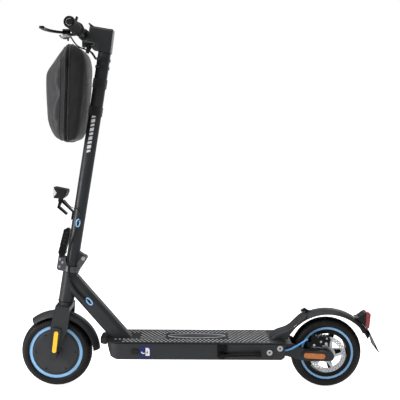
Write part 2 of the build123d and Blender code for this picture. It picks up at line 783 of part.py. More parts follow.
with BuildPart() as fender_hook:
    with BuildSketch(Plane.XZ):
        with BuildLine():
            Polyline(
                (rear_x - 78.9, 232.8), (rear_x - 76, 238.5), (rear_x - 65.3, 243.6), (rear_x - 54, 236),
                (rear_x - 44, 237), (rear_x - 44, 228), (rear_x - 64, 226), (rear_x - 66, 235.5), close=True,
            )
        make_face()
    extrude(amount=7, both=True)
    with BuildSketch(side_plane(rear_fender_x, rear_fender_z)):
        Circle(rear_fender_crown + gap)
    extrude(amount=20, both=True, mode=Mode.SUBTRACT)
save(fender_hook, "fender_hook")

lamp_half = 19.0
with BuildPart() as tail_light_housing:
    with BuildSketch(Plane.XZ):
        with BuildLine():
            Polyline(
                (rear_x + 76, 214), (rear_x + 97, 219), (rear_x + 114, 232), (rear_x + 119, 234),
                (rear_x + 117, 184), (rear_x + 90, 190), close=True,
            )
        make_face()
    extrude(amount=lamp_half, both=True)
    with BuildSketch(side_plane(rear_fender_x, rear_fender_z)):
        Circle(rear_fender_crown + gap)
    extrude(amount=2 * lamp_half, both=True, mode=Mode.SUBTRACT)
save(tail_light_housing, "tail_light_housing")

with BuildPart() as tail_light_lens:
    with BuildSketch(Plane.XZ):
        with BuildLine():
            Polyline(
                (rear_x + 119.4, 235.6), (rear_x + 125, 236.5), (rear_x + 133.2, 229),
                (rear_x + 129.5, 188), (rear_x + 124, 182.5), (rear_x + 117.4, 184),
                close=True,
            )
        make_face()
    extrude(amount=lamp_half - 1, both=True)
    with BuildSketch(side_plane(rear_fender_x, rear_fender_z)):
        Circle(rear_fender_crown + gap)
    extrude(amount=2 * lamp_half, both=True, mode=Mode.SUBTRACT)
    fillet(tail_light_lens.edges().group_by(Axis.X)[-1], radius=1.5)
save(tail_light_lens, "tail_light_lens")

with BuildPart() as mud_flap:
    with BuildSketch(Plane.XZ):
        with BuildLine():
            Polyline(
                (rear_x + 123.5, 180.5), (rear_x + 126.5, 180.5), (rear_x + rear_overhang, 110.4),
                (rear_x + rear_overhang - 2, 110.4), (rear_x + 122, 160), close=True,
            )
        make_face()
    extrude(amount=26, both=True)
    with BuildSketch(side_plane(rear_fender_x, rear_fender_z)):
        Circle(rear_fender_crown + gap)
    extrude(amount=60, both=True, mode=Mode.SUBTRACT)
save(mud_flap, "mud_flap")

# kickstand: bracket on the left wall, leg folded back along the deck
stand_x = front_x + 505.4
stand_z = 118.8
leg_radius = 5.0
leg_length = 116.4
leg_y = -deck_half_width - 11.5
leg_hub_radius = 9.0
with BuildPart() as kickstand_bracket:
    with BuildSketch(side_plane(stand_x + 1, 131.5, -deck_half_width - gap)) as plate:
        Rectangle(30, 42)
        fillet(plate.vertices(), radius=5)
    extrude(amount=3)
    for screw_x in (-9, 11):
        with BuildSketch(side_plane(stand_x + screw_x, 147, -deck_half_width - gap - 3)):
            Circle(4)
            RegularPolygon(1.8, 6, mode=Mode.SUBTRACT)
        extrude(amount=2.5)
    with BuildSketch(side_plane(stand_x, stand_z, -deck_half_width - gap - 3)):
        Circle(4)
    extrude(amount=16)
    with BuildSketch(side_plane(stand_x, stand_z, -deck_half_width - gap - 19)):
        Circle(7)
    extrude(amount=2)
save(kickstand_bracket, "kickstand_bracket")

with BuildPart() as kickstand_leg:
    with BuildSketch(side_plane(stand_x, stand_z, -deck_half_width - gap - 3.5)):
        Circle(leg_hub_radius)
    extrude(amount=14)
    with BuildSketch(Plane(origin=(stand_x, leg_y, stand_z), x_dir=(0, 1, 0), z_dir=(1, 0, 0.035))):
        Circle(leg_radius)
    extrude(amount=leg_length - 6)
    foot = (stand_x + leg_length - 16, leg_y, stand_z + 3.8)
    with BuildSketch(Plane(origin=foot, x_dir=(0, 1, 0), z_dir=(1, 0, 0))):
        RectangleRounded(13, 13, 3)
    extrude(amount=16)
    with BuildSketch(side_plane(stand_x, stand_z)):
        Circle(4 + fit)
    extrude(amount=2 * deck_half_width, mode=Mode.SUBTRACT)
save(kickstand_leg, "kickstand_leg")

# caliper around the rotor's upper front edge, its arm and the cable from the deck
caliper_x = rear_x - 27
caliper_z = axle_z + 43
with BuildPart() as brake_caliper:
    with BuildSketch(side_plane(caliper_x, caliper_z, rotor_y + 6)) as block:
        with BuildLine():
            Polyline((-24, -16), (-24, 6), (-12, 17), (28, 17), (34, 8), (30, -16), close=True)
        make_face()
        fillet(block.vertices(), radius=3)
    extrude(amount=17)
    with BuildSketch(side_plane(rear_x, axle_z, rotor_y + 2.6)):
        Circle(rotor_radius + 2)
    extrude(amount=5.2, mode=Mode.SUBTRACT)
    with BuildSketch(side_plane(caliper_x, caliper_z, rotor_y - 3)):
        with Locations((-28, -9)):
            Rectangle(16, 14)
    extrude(amount=9)
    for piston_side in (-1, 1):
        pad_y = rotor_y + piston_side * (rotor_thickness / 2 + gap)
        pad_centre = (caliper_x + 2, pad_y, caliper_z - 3)
        with BuildSketch(Plane(origin=pad_centre, x_dir=(1, 0, 0), z_dir=(0, piston_side, 0))):
            Circle(7.5)
        extrude(amount=1.2)
save(brake_caliper, "brake_caliper")

arm_pivot_x = caliper_x + 4
arm_pivot_z = caliper_z + 1
with BuildPart() as caliper_arm:
    with BuildSketch(side_plane(arm_pivot_x, arm_pivot_z, rotor_y - 11 - gap)) as lever:
        Circle(8)
        with BuildLine():
            Polyline((-30, 16), (-27, 23), (4, 7), (-4, -7), close=True)
        make_face()
    extrude(amount=3.5)
save(caliper_arm, "caliper_arm")

cable_diameter = 5.0
adjuster = Vector(caliper_x - 36, -46.0, caliper_z + 8)
with BuildPart() as rear_brake_cable:
    add(cord_tube("rear_brake_cable", [
        Vector(deck_rear + 1, -60, 128), Vector(deck_rear + 17, -59.5, 131), Vector(deck_rear + 36, -56, 140),
        Vector(deck_rear + 54, -51, 150), adjuster,
    ], cable_diameter))
save(rear_brake_cable, "rear_brake_cable")


# ================= stem =================

with BuildPart() as stem_tube:
    with BuildSketch(steer_level(stem_bottom)):
        Circle(stem_radius)
    extrude(amount=stem_top - stem_bottom)
    with BuildSketch(steer_level(hinge_height + 20)):
        Circle(stem_radius - stem_wall)
    extrude(amount=stem_top, mode=Mode.SUBTRACT)
    with BuildSketch(steer_side()):
        with Locations((hinge_back - 100, hinge_height - 50)):
            Rectangle(200, 100)
        with Locations((hinge_back, hinge_height)):
            Circle(foot_sweep, mode=Mode.SUBTRACT)
    extrude(amount=stem_radius + 5, both=True, mode=Mode.SUBTRACT)
    with BuildSketch(steer_side()):
        with BuildLine():
            Polyline(
                (12, 286), (hinge_back - 2, hinge_height - 7.5),
                (hinge_back + 2, hinge_height + 7.5), (12, 318),
                close=True,
            )
        make_face()
        with Locations((hinge_back, hinge_height)):
            Circle(hinge_eye_radius)
    extrude(amount=ear_inner - gap, both=True)
    with BuildSketch(steer_side()):
        with Locations((hinge_back, hinge_height)):
            Circle(hinge_pin_radius + fit)
    extrude(amount=ear_outer + 5, both=True, mode=Mode.SUBTRACT)
save(stem_tube, "stem_tube")

# stem head: closes the tube, reaches forward and clamps the bar
head_half = 21.0
panel_thickness = 2.0
clamp_wall = 6.0
button_back = 9.0
button_radius = 5.0
with BuildPart() as stem_head:
    with BuildSketch(steer_side()) as head_outline:
        with BuildLine():
            front = Line((bar_back + 14, head_height), (bar_back + 12, head_height - 44))
            under = Spline(front @ 1, (-27, 934), (-19.5, 916))
            Line(under @ 1, (stem_radius + 0.5, 916))
            Line((stem_radius + 0.5, 916), (17.6, head_height))
            Line((17.6, head_height), front @ 0)
        make_face()
    extrude(amount=head_half, both=True)
    rounded = stem_head.edges().filter_by(lambda edge: abs(abs(edge.center().Y) - head_half) < 0.01)
    fillet(rounded, radius=4)
    with BuildSketch(steer_side()):
        with Locations((bar_back, bar_height)):
            Circle(bar_radius + clamp_wall)
    extrude(amount=head_half - 2, both=True)
    with BuildSketch(steer_level(stem_top - 28)):
        Circle(stem_radius - stem_wall - gap)
    extrude(amount=32)
    with BuildSketch(steer_side()):
        with Locations((bar_back, bar_height)):
            Circle(bar_radius + fit)
    extrude(amount=head_half + 5, both=True, mode=Mode.SUBTRACT)
    with BuildSketch(steer_level(head_height, button_back)):
        Circle(button_radius + gap)
    extrude(amount=-8, mode=Mode.SUBTRACT)
save(stem_head, "stem_head")

with BuildPart() as display_panel:
    with BuildSketch(steer_side()):
        with BuildLine():
            Polyline(
                (16.5, head_height + gap / 2), (16.5, head_height + panel_thickness),
                (-40, head_height + panel_thickness), (-56, 993.2), (-57, 990),
                (bar_back + 15, head_height + gap / 2), close=True,
            )
        make_face()
    extrude(amount=head_half - 3, both=True)
    with BuildSketch(steer_level(head_height - 2, button_back)):
        Circle(button_radius + gap)
    extrude(amount=10, mode=Mode.SUBTRACT)
save(display_panel, "display_panel")

button_travel = 1.5
with BuildPart() as power_button:
    with BuildSketch(steer_level(head_height - 8 + button_travel + gap, button_back)):
        Circle(button_radius)
    extrude(amount=8 + panel_thickness + 0.6)
    fillet(power_button.edges().filter_by(GeomType.CIRCLE).sort_by(Axis.Z)[-1], radius=0.8)
save(power_button, "power_button")

bar_centre = steer_point(bar_back, 0, bar_height)


def bar_side(side, back=0.0, up=0.0):
    """An upright plane facing left at a place along the handlebar."""
    return side_plane(bar_centre.X + back, bar_centre.Z + up, side)


def bar_level(up, back=0.0, side=0.0):
    """A level plane beside the handlebar."""
    return Plane(origin=(bar_centre.X + back, side, bar_centre.Z + up))


with BuildPart() as handlebar:
    with BuildSketch(bar_side(0)):
        Circle(bar_radius)
        Circle(bar_radius - 2, mode=Mode.SUBTRACT)
    extrude(amount=bar_half_length, both=True)
save(handlebar, "handlebar")

with BuildPart() as handlebar_grips:
    for side in (-1, 1):
        grip_end = side * (bar_half_length + bar_cap)
        with BuildSketch(bar_side(grip_end)):
            Circle(grip_radius)
        extrude(amount=side * grip_length)
        with BuildSketch(bar_side(grip_end - side * (grip_length - 5))):
            Circle(grip_radius + 3)
        extrude(amount=side * 5)
        with BuildSketch(bar_side(side * (bar_half_length + fit))):
            Circle(bar_radius + fit)
        extrude(amount=side * 2 * grip_length, mode=Mode.SUBTRACT)
    ends = handlebar_grips.edges().filter_by(GeomType.CIRCLE).group_by(Axis.Y)
    fillet([ends[0][-1], ends[-1][-1]], radius=5)
save(handlebar_grips, "handlebar_grips")

# controls: brake lever clamp with bell on the left, throttle housing on the right
clamp_half = 7.0
left_clamp_y = -104.0
right_clamp_y = 98.0
lever_pivot_back = -30.0
lever_pivot_side = -98.0
lever_up = -7.0
lever_thickness = 6.0
bell_back = -37.0
with BuildPart() as control_clamps:
    for clamp_y in (left_clamp_y, right_clamp_y):
        with BuildSketch(bar_side(clamp_y)):
            Circle(bar_radius + clamp_wall)
        extrude(amount=clamp_half, both=True)
    with BuildSketch(bar_level(-15)) as block:
        with Locations((-27, left_clamp_y + 4)):
            Rectangle(34, 22)
        fillet(block.vertices(), radius=4)
    extrude(amount=16)
    with BuildSketch(bar_side(right_clamp_y)):
        with Locations((-14, -10)):
            Rectangle(20, 22)
    extrude(amount=clamp_half, both=True)
    with BuildSketch(bar_side(left_clamp_y)):
        with Locations((-6, 16)):
            Rectangle(9, 11)
    extrude(amount=2.5, both=True)
    with BuildSketch(bar_level(lever_up - lever_thickness / 2 - gap)):
        with Locations((-60, lever_pivot_side - 20)):
            Rectangle(90, 70)
    extrude(amount=lever_thickness + 2 * gap, mode=Mode.SUBTRACT)
    with BuildSketch(bar_level(-30)):
        with Locations((lever_pivot_back, lever_pivot_side)):
            Circle(2.5)
    extrude(amount=31)
    with BuildSketch(bar_level(-15 - gap, bell_back, left_clamp_y + 2)):
        Circle(16)
    with BuildSketch(bar_level(-24, bell_back, left_clamp_y + 2)):
        Circle(8)
    loft()
    for clamp_y in (left_clamp_y, right_clamp_y):
        with BuildSketch(bar_side(clamp_y)):
            Circle(bar_radius + fit)
        extrude(amount=3 * clamp_half, both=True, mode=Mode.SUBTRACT)
save(control_clamps, "control_clamps")

with BuildPart() as brake_lever:
    with BuildSketch(bar_level(lever_up - lever_thickness / 2)):
        with BuildLine() as blade:
            outer = Spline((-33, -92), (-62, -106), (-84, -142), (-88, -186))
            inner = Spline((-78, -186), (-73, -144), (-54, -114), (-27, -104))
            Line(outer @ 0, inner @ 1)
            Line(outer @ 1, inner @ 0)
        make_face()
        with Locations((-83, -187)):
            Circle(7)
        with Locations((lever_pivot_back, lever_pivot_side)):
            Circle(7)
            Circle(2.5 + fit, mode=Mode.SUBTRACT)
    extrude(amount=lever_thickness)
save(brake_lever, "brake_lever")

with BuildPart() as bell_striker:
    with BuildSketch(bar_side(left_clamp_y)):
        with Locations((-6, 26)):
            SlotOverall(22, 5, rotation=70)
    extrude(amount=6, both=True)
    with BuildSketch(bar_side(left_clamp_y)):
        with Locations((-6, 16)):
            Rectangle(30, 16)
    extrude(amount=2.5 + gap, both=True, mode=Mode.SUBTRACT)
save(bell_striker, "bell_striker")

throttle_y = right_clamp_y + clamp_half + gap
with BuildPart() as throttle_lever:
    with BuildSketch(bar_side(throttle_y)):
        Circle(bar_radius + clamp_wall)
        with BuildLine():
            Polyline((-10, -8), (-16, -36), (-8, -40), (6, -14), close=True)
        make_face()
        Circle(bar_radius + gap, mode=Mode.SUBTRACT)
    extrude(amount=-9)
save(throttle_lever, "throttle_lever")

# storage bag strapped to the front of the stem
bag_half = 76.0
strap_heights = (824.0, 741.0)
strap_width = 27.0
band_heights = (891.0, 868.0)
with BuildPart() as bag:
    with BuildSketch(steer_side()):
        with BuildLine():
            Spline(
                (-30, 888), (-52, 903), (-91, 915), (-114, 908), (-136, 875), (-150.5, 828), (-150, 800),
                (-138, 758), (-119, 688), (-106, 661), (-83, 644), (-61, 642), (-28, 653), (-14, 668),
                (-11.5, 690), (-17, 790), (-22, 860), (-30, 888), periodic=False,
            )
        make_face()
    extrude(amount=bag_half, both=True)
    with BuildSketch(steer_level(stem_bottom)):
        Circle(stem_radius + 3.2)
    extrude(amount=stem_top, mode=Mode.SUBTRACT)
save(bag, "bag")

with BuildPart() as bag_straps:
    for height in strap_heights:
        with BuildSketch(steer_level(height - strap_width / 2)):
            Circle(stem_radius + gap + 2)
            Circle(stem_radius + gap, mode=Mode.SUBTRACT)
        extrude(amount=strap_width)
    for height in band_heights:
        with BuildSketch(steer_level(height)):
            Circle(stem_radius + gap + 2)
            Circle(stem_radius + gap, mode=Mode.SUBTRACT)
        extrude(amount=8)
save(bag_straps, "bag_straps")

# headlight on a bent bracket
lamp_pivot_back = -63.0
lamp_pivot_height = 459.0
headlight_half = 22.0
with BuildPart() as headlight_bracket:
    with BuildSketch(steer_side()):
        with BuildLine():
            Polyline(
                (-stem_radius - gap, 408), (-stem_radius - gap, 434), (-52, 460), (-61, 464), (-66, 464),
                (-67, 455), (-69, 437), (-39, 419), (-36, 424), (-62, 441), (-58, 455), (-22.4, 431),
                (-22.4, 408), close=True,
            )
        make_face()
    extrude(amount=8, both=True)
    with BuildSketch(steer_side()):
        with Locations((lamp_pivot_back, lamp_pivot_height)):
            Circle(5)
    extrude(amount=8, both=True)
    with BuildSketch(steer_side()):
        with Locations((lamp_pivot_back, lamp_pivot_height)):
            Circle(2)
    extrude(amount=14, both=True)
save(headlight_bracket, "headlight_bracket")

with BuildPart() as headlight:
    with BuildSketch(steer_side()):
        with BuildLine():
            Polyline(
                (-86, 498), (-46, 496.5), (-44, 490), (-47, 476), (-54, 467.5), (-80.5, 465.6),
                (-81.2, 468), (-73, 482), (-84, 494), close=True,
            )
        make_face()
    extrude(amount=headlight_half, both=True)
    with BuildSketch(steer_side()):
        with Locations((lamp_pivot_back, lamp_pivot_height + 3)):
            Rectangle(11, 11)
    extrude(amount=11.5, both=True)
    with BuildSketch(steer_side()):
        with Locations((lamp_pivot_back, lamp_pivot_height)):
            Circle(6 + gap)
            Rectangle(14, 16)
    extrude(amount=8 + gap, both=True, mode=Mode.SUBTRACT)
    with BuildSketch(steer_side()):
        with Locations((lamp_pivot_back, lamp_pivot_height)):
            Circle(2 + fit)
    extrude(amount=30, both=True, mode=Mode.SUBTRACT)
save(headlight, "headlight")

with BuildPart() as headlight_lens:
    with BuildSketch(steer_side()):
        with BuildLine():
            Polyline((-84.6, 493.6), (-73.8, 482), (-81.8, 468.4), (-84.5, 470), (-86.4, 490), close=True)
        make_face()
    extrude(amount=headlight_half - 2, both=True)
save(headlight_lens, "headlight_lens")

# latch lever on the base's lug
with BuildPart() as latch_lever:
    with BuildSketch(steer_side()) as lever_outline:
        with BuildLine():
            Polyline(
                (-43, 319), (-38, 374), (-32, 380), (-24, 380.5), (-20, 375), (-20.3, 340), (-22.5, 318),
                close=True,
            )
        make_face()
        fillet(lever_outline.vertices().group_by(Axis.Z)[-1], radius=2)
    extrude(amount=11, both=True)
    for side in (-1, 1):
        with BuildSketch(steer_side(side * (lug_half + gap))):
            with BuildLine():
                Polyline((-43, 322), (-45, latch_height), (-24.5, latch_height), (-22.4, 322), close=True)
            make_face()
            with Locations((latch_back, latch_height)):
                Circle(11)
        extrude(amount=-side * (11 - lug_half - gap))
    with BuildSketch(steer_side()):
        with Locations((latch_back, latch_height)):
            Circle(latch_pin_radius)
    extrude(amount=11, both=True)
save(latch_lever, "latch_lever")

# ================= cables =================

harness_diameter = 6.0
harness_side = -28.8
stem_grommet_height = 403.0
with BuildPart() as harness_upper:
    add(cord_tube("harness_upper", [
        steer_point(1.5, -23.5, 390), steer_point(-3, -25.5, 366), steer_point(-7.5, -27.8, 340),
        steer_point(-9.5, harness_side, 312), steer_point(-7.5, harness_side, 285),
        steer_point(-3.2, harness_side, 262),
    ], harness_diameter))
    with BuildSketch(steer_side(-stem_radius - gap)):
        with Locations((2.5, stem_grommet_height)):
            Ellipse(5.5, 13)
    extrude(amount=4)
save(harness_upper, "harness_upper")

grommet_centre = Vector(front_x + 104, 0, 266.3)
with BuildPart() as harness_lower:
    add(cord_tube("harness_lower", [
        steer_point(-3.1, harness_side, 261.6), steer_point(-0.5, harness_side, 243),
        steer_point(9, -28.5, 222), steer_point(24, -28, 203), steer_point(43, -27.5, 187),
        steer_point(62, -27, 176.5),
    ], harness_diameter))
    with BuildSketch(side_plane(grommet_centre.X, grommet_centre.Z, -down_tube_width / 2 - gap)):
        Ellipse(13, 5.5, rotation=-down_tube_angle)
    extrude(amount=4)
save(harness_lower, "harness_lower")

control_cable_diameter = 4.0
left_exit = bar_centre + Vector(-24, left_clamp_y + 16, -17.5)
right_exit = bar_centre + Vector(-14, right_clamp_y - 9, -14)
with BuildPart() as control_cables:
    add(cord_tube("left control cable", [
        left_exit, left_exit + Vector(3, 22, -9), left_exit + Vector(12, 44, -22),
        steer_point(-40, -30, 912), steer_point(-30, -14, 902), steer_point(-23, -5, 893),
    ], control_cable_diameter))
    add(cord_tube("right control cable", [
        right_exit, right_exit + Vector(1, -24, -8), right_exit + Vector(4, -46, -20),
        steer_point(-42, 24, 915), steer_point(-31, 12, 904), steer_point(-23, 5, 895),
    ], control_cable_diameter))
save(control_cables, "control_cables")
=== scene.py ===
from math import cos, hypot, pi, radians, sin, sqrt

import bpy
from mathutils import Matrix, Vector


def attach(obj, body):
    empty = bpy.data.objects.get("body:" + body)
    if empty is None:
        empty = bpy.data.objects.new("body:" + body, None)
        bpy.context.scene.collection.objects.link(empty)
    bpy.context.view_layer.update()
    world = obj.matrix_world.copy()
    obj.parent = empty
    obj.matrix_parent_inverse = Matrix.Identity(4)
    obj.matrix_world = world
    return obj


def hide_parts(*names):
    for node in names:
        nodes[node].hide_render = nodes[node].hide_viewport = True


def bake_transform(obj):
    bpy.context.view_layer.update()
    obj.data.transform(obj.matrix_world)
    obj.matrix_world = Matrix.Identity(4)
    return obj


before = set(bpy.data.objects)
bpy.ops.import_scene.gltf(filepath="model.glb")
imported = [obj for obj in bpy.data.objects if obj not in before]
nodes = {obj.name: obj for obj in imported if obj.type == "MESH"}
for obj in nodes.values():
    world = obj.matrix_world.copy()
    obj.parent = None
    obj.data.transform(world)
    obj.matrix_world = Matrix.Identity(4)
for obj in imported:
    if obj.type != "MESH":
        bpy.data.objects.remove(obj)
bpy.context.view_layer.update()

# Electric kick scooter. Metres; +X points to the rear, -Y is the rider's left, +Z is up.

# ---- places that the pieces share ----
FRONT_X = -0.4402
REAR_X = 0.3871
AXLE_Z = 0.108
RAKE = radians(9.4)
STEER_FOOT = Vector((FRONT_X + 0.0037, 0, AXLE_Z))
BACK = Vector((cos(RAKE), 0, -sin(RAKE)))
SIDE = Vector((0, 1, 0))
ALONG = Vector((sin(RAKE), 0, cos(RAKE)))
STEM_RADIUS = 0.019
CALIPER_X = REAR_X - 0.027
CALIPER_Z = AXLE_Z + 0.043


def steer(back, side, height):
    """A point behind, beside and along the steering axis, given in millimetres."""
    return STEER_FOOT + (BACK * back + SIDE * side + ALONG * height) / 1000


# ================= camera, light and floor =================

CAMERA_PLACE = (-0.00204, -2.01897, 0.75707)
PITCH = radians(5.163)
ROLL = radians(0.256)
LENS = 60.3
FLOOR_HALF = 8


def make_camera():
    """Stands on the rider's left and looks slightly down."""
    data = bpy.data.cameras.new("camera")
    data.sensor_width = 36
    data.lens = LENS
    camera = bpy.data.objects.new("camera", data)
    bpy.context.scene.collection.objects.link(camera)
    turn = Matrix.Rotation(pi / 2 - PITCH, 4, "X") @ Matrix.Rotation(ROLL, 4, "Z")
    camera.matrix_world = Matrix.Translation(CAMERA_PLACE) @ turn
    bpy.context.scene.camera = camera


def area_light(name, place, target, size, power):
    """A white rectangle at a place, turned to a target."""
    data = bpy.data.lights.new(name, "AREA")
    data.shape = "RECTANGLE"
    data.size, data.size_y = size
    data.energy = power
    light = bpy.data.objects.new(name, data)
    light.location = place
    light.rotation_euler = (Vector(target) - Vector(place)).to_track_quat("-Z", "Y").to_euler()
    bpy.context.scene.collection.objects.link(light)


def make_world():
    """White to the camera and a dimmer grey to the object."""
    world = bpy.data.worlds.new("studio")
    world.use_nodes = True
    tree = world.node_tree
    output = tree.nodes["World Output"]
    seen = tree.nodes["Background"]
    seen.inputs["Color"].default_value = (1, 1, 1, 1)
    seen.inputs["Strength"].default_value = 1.0
    soft = tree.nodes.new("ShaderNodeBackground")
    soft.inputs["Color"].default_value = (1, 1, 1, 1)
    soft.inputs["Strength"].default_value = 0.24
    which = tree.nodes.new("ShaderNodeLightPath")
    mix = tree.nodes.new("ShaderNodeMixShader")
    tree.links.new(which.outputs["Is Camera Ray"], mix.inputs["Fac"])
    tree.links.new(soft.outputs["Background"], mix.inputs[1])
    tree.links.new(seen.outputs["Background"], mix.inputs[2])
    tree.links.new(mix.outputs["Shader"], output.inputs["Surface"])
    bpy.context.scene.world = world


def make_stage():
    """Three lights, and a floor far wider than the view."""
    make_world()
    bpy.context.scene.view_settings.view_transform = "Standard"
    area_light("overhead", (-0.1, -0.3, 2.8), (0, 0, 0), (3.5, 2.5), 62)
    area_light("left_strip", (-2.0, -1.0, 1.0), (-0.3, 0, 0.6), (0.5, 2.4), 46)
    area_light("behind", (1.4, 2.4, 1.6), (0, 0, 0.4), (2.5, 1.5), 24)

    def place(u, v):
        return FLOOR_HALF * (2 * u - 1), FLOOR_HALF * (2 * v - 1), 0

    floor = mesh_object("floor", *grid_faces(2, 2, place))
    floor.data.materials.append(floor_material())


# ================= materials =================


NOISE_SPAN = (0.3, 0.7)
ROUGHNESS_SPREAD = 0.1


def rgb(red, green, blue):
    """A linear colour from the usual 0 to 255 values."""
    parts = [value / 255 for value in (red, green, blue)]
    return [part / 12.92 if part <= 0.04045 else ((part + 0.055) / 1.055) ** 2.4 for part in parts]


def add_node(tree, kind, links=None, **values):
    """A shader node with its inputs linked or set by name."""
    made = tree.nodes.new(kind)
    for name, value in values.items():
        made.inputs[name.replace("_", " ")].default_value = value
    for name, source in (links or {}).items():
        tree.links.new(source, made.inputs[name])
    return made


def stretched(tree, scale):
    """Object coordinates scaled along each axis."""
    place = tree.nodes.new("ShaderNodeTexCoord").outputs["Object"]
    return add_node(tree, "ShaderNodeMapping", {"Vector": place}, Scale=scale).outputs["Vector"]


def grain(tree, scale, stretch=(1, 1, 1)):
    place = stretched(tree, stretch)
    return add_node(tree, "ShaderNodeTexNoise", {"Vector": place}, Scale=scale, Detail=3.0)


def weave(tree, pitch, axes):
    """Threads crossing over and under, from two sets of waves."""
    sets = []
    waves_per_unit = 0.314
    for axis in axes:
        place = stretched(tree, (1, 1, 1))
        wave = add_node(tree, "ShaderNodeTexWave", {"Vector": place}, Scale=waves_per_unit / pitch)
        wave.bands_direction = axis
        sets.append(wave.outputs["Fac"])
    crossing = add_node(tree, "ShaderNodeMath")
    crossing.operation = "MULTIPLY"
    tree.links.new(sets[0], crossing.inputs[0])
    tree.links.new(sets[1], crossing.inputs[1])
    return crossing.outputs["Value"]


def material(name, colour, roughness, metallic, mottle, patch, reliefs=(), **sockets):
    """A surface whose colour and roughness vary over patches.

    Each relief is a bump, given as its pattern, size, depth and strength.
    """
    made = bpy.data.materials.new(name)
    made.use_nodes = True
    tree = made.node_tree
    shader = tree.nodes["Principled BSDF"]
    shader.inputs["Metallic"].default_value = metallic
    shader.inputs["Specular IOR Level"].default_value = 0.3
    for socket, value in sockets.items():
        shader.inputs[socket.replace("_", " ")].default_value = value
    cloud = grain(tree, 1 / patch)
    cloud.inputs["Detail"].default_value = 6.0
    ramp = tree.nodes.new("ShaderNodeValToRGB")
    dark, light = ramp.color_ramp.elements
    dark.position, light.position = NOISE_SPAN
    dark.color = [part * (1 - mottle) for part in colour] + [1]
    light.color = [min(1, part * (1 + mottle)) for part in colour] + [1]
    tree.links.new(cloud.outputs["Fac"], ramp.inputs["Fac"])
    tree.links.new(ramp.outputs["Color"], shader.inputs["Base Color"])
    smudge = grain(tree, 0.6 / patch)
    spans = add_node(tree, "ShaderNodeMapRange", {"Value": smudge.outputs["Fac"]})
    spans.inputs["From Min"].default_value = NOISE_SPAN[0]
    spans.inputs["From Max"].default_value = NOISE_SPAN[1]
    spans.inputs["To Min"].default_value = max(0.02, roughness - ROUGHNESS_SPREAD)
    spans.inputs["To Max"].default_value = min(1.0, roughness + ROUGHNESS_SPREAD)
    tree.links.new(spans.outputs["Result"], shader.inputs["Roughness"])
    last = None
    for pattern, size, depth, strength in reliefs:
        height = relief_height(tree, pattern, size)
        bump = add_node(tree, "ShaderNodeBump", {"Height": height}, Distance=depth, Strength=strength)
        if last is not None:
            tree.links.new(last, bump.inputs["Normal"])
        last = bump.outputs["Normal"]
    if last is not None:
        tree.links.new(last, shader.inputs["Normal"])
    return made


def relief_height(tree, pattern, size):
    """The height output of a bump pattern."""
    if pattern == "grain":
        return grain(tree, 1 / size).outputs["Fac"]
    if pattern == "pebble":
        place = stretched(tree, (1, 1, 1))
        return add_node(tree, "ShaderNodeTexVoronoi", {"Vector": place}, Scale=1 / size).outputs["Distance"]
    if pattern == "brushed":
        return grain(tree, 1 / size, (1, 0.04, 1)).outputs["Fac"]
    if pattern == "weave":
        return weave(tree, size, ("DIAGONAL", "Z"))
    if pattern == "webbing":
        return weave(tree, size, ("Y", "Z"))
    raise ValueError(pattern)


def floor_material():
    """Nearly white, and lit a little from within so that it meets the white surroundings."""
    made = material(
        "studio_floor", rgb(238, 238, 238), 0.7, 0.0, 0.01, 0.4, reliefs=[("grain", 0.01, 0.0002, 0.1)]
    )
    shader = made.node_tree.nodes["Principled BSDF"]
    shader.inputs["Emission Color"].default_value = (1, 1, 1, 1)
    path = made.node_tree.nodes.new("ShaderNodeLightPath")
    glow = add_node(made.node_tree, "ShaderNodeMapRange", {"Value": path.outputs["Is Camera Ray"]})
    glow.inputs["To Min"].default_value = 0.18
    glow.inputs["To Max"].default_value = 0.9
    made.node_tree.links.new(glow.outputs["Result"], shader.inputs["Emission Strength"])
    return made


# ---- the materials: colour, roughness, metallic, mottle, patch size ----
PAINT_GRAIN = [("grain", 0.0012, 0.00012, 0.25), ("pebble", 0.004, 0.00006, 0.12)]
PLASTIC_GRAIN = [("grain", 0.0008, 0.0001, 0.35)]
CAST_GRAIN = [("grain", 0.0015, 0.0002, 0.5)]
STEEL_BRUSHED = [("brushed", 0.0006, 0.00005, 0.3)]
GRIP_PEBBLE = [("pebble", 0.0016, 0.0003, 0.5)]
MAT_GRAIN = [("grain", 0.0012, 0.0002, 0.5)]
TYRE_GRAIN = [("grain", 0.0015, 0.0002, 0.4)]
BAG_WEAVE = [("weave", 0.0011, 0.00025, 0.6), ("grain", 0.02, 0.0008, 0.25)]
FRONT_WEAVE = [("weave", 0.0009, 0.00015, 0.4), ("grain", 0.02, 0.0005, 0.2)]
WEBBING = [("webbing", 0.0016, 0.0004, 0.8)]
STUD_GRAIN = [("grain", 0.001, 0.0001, 0.3)]
BELL_BRUSHED = [("brushed", 0.0008, 0.0001, 0.3)]
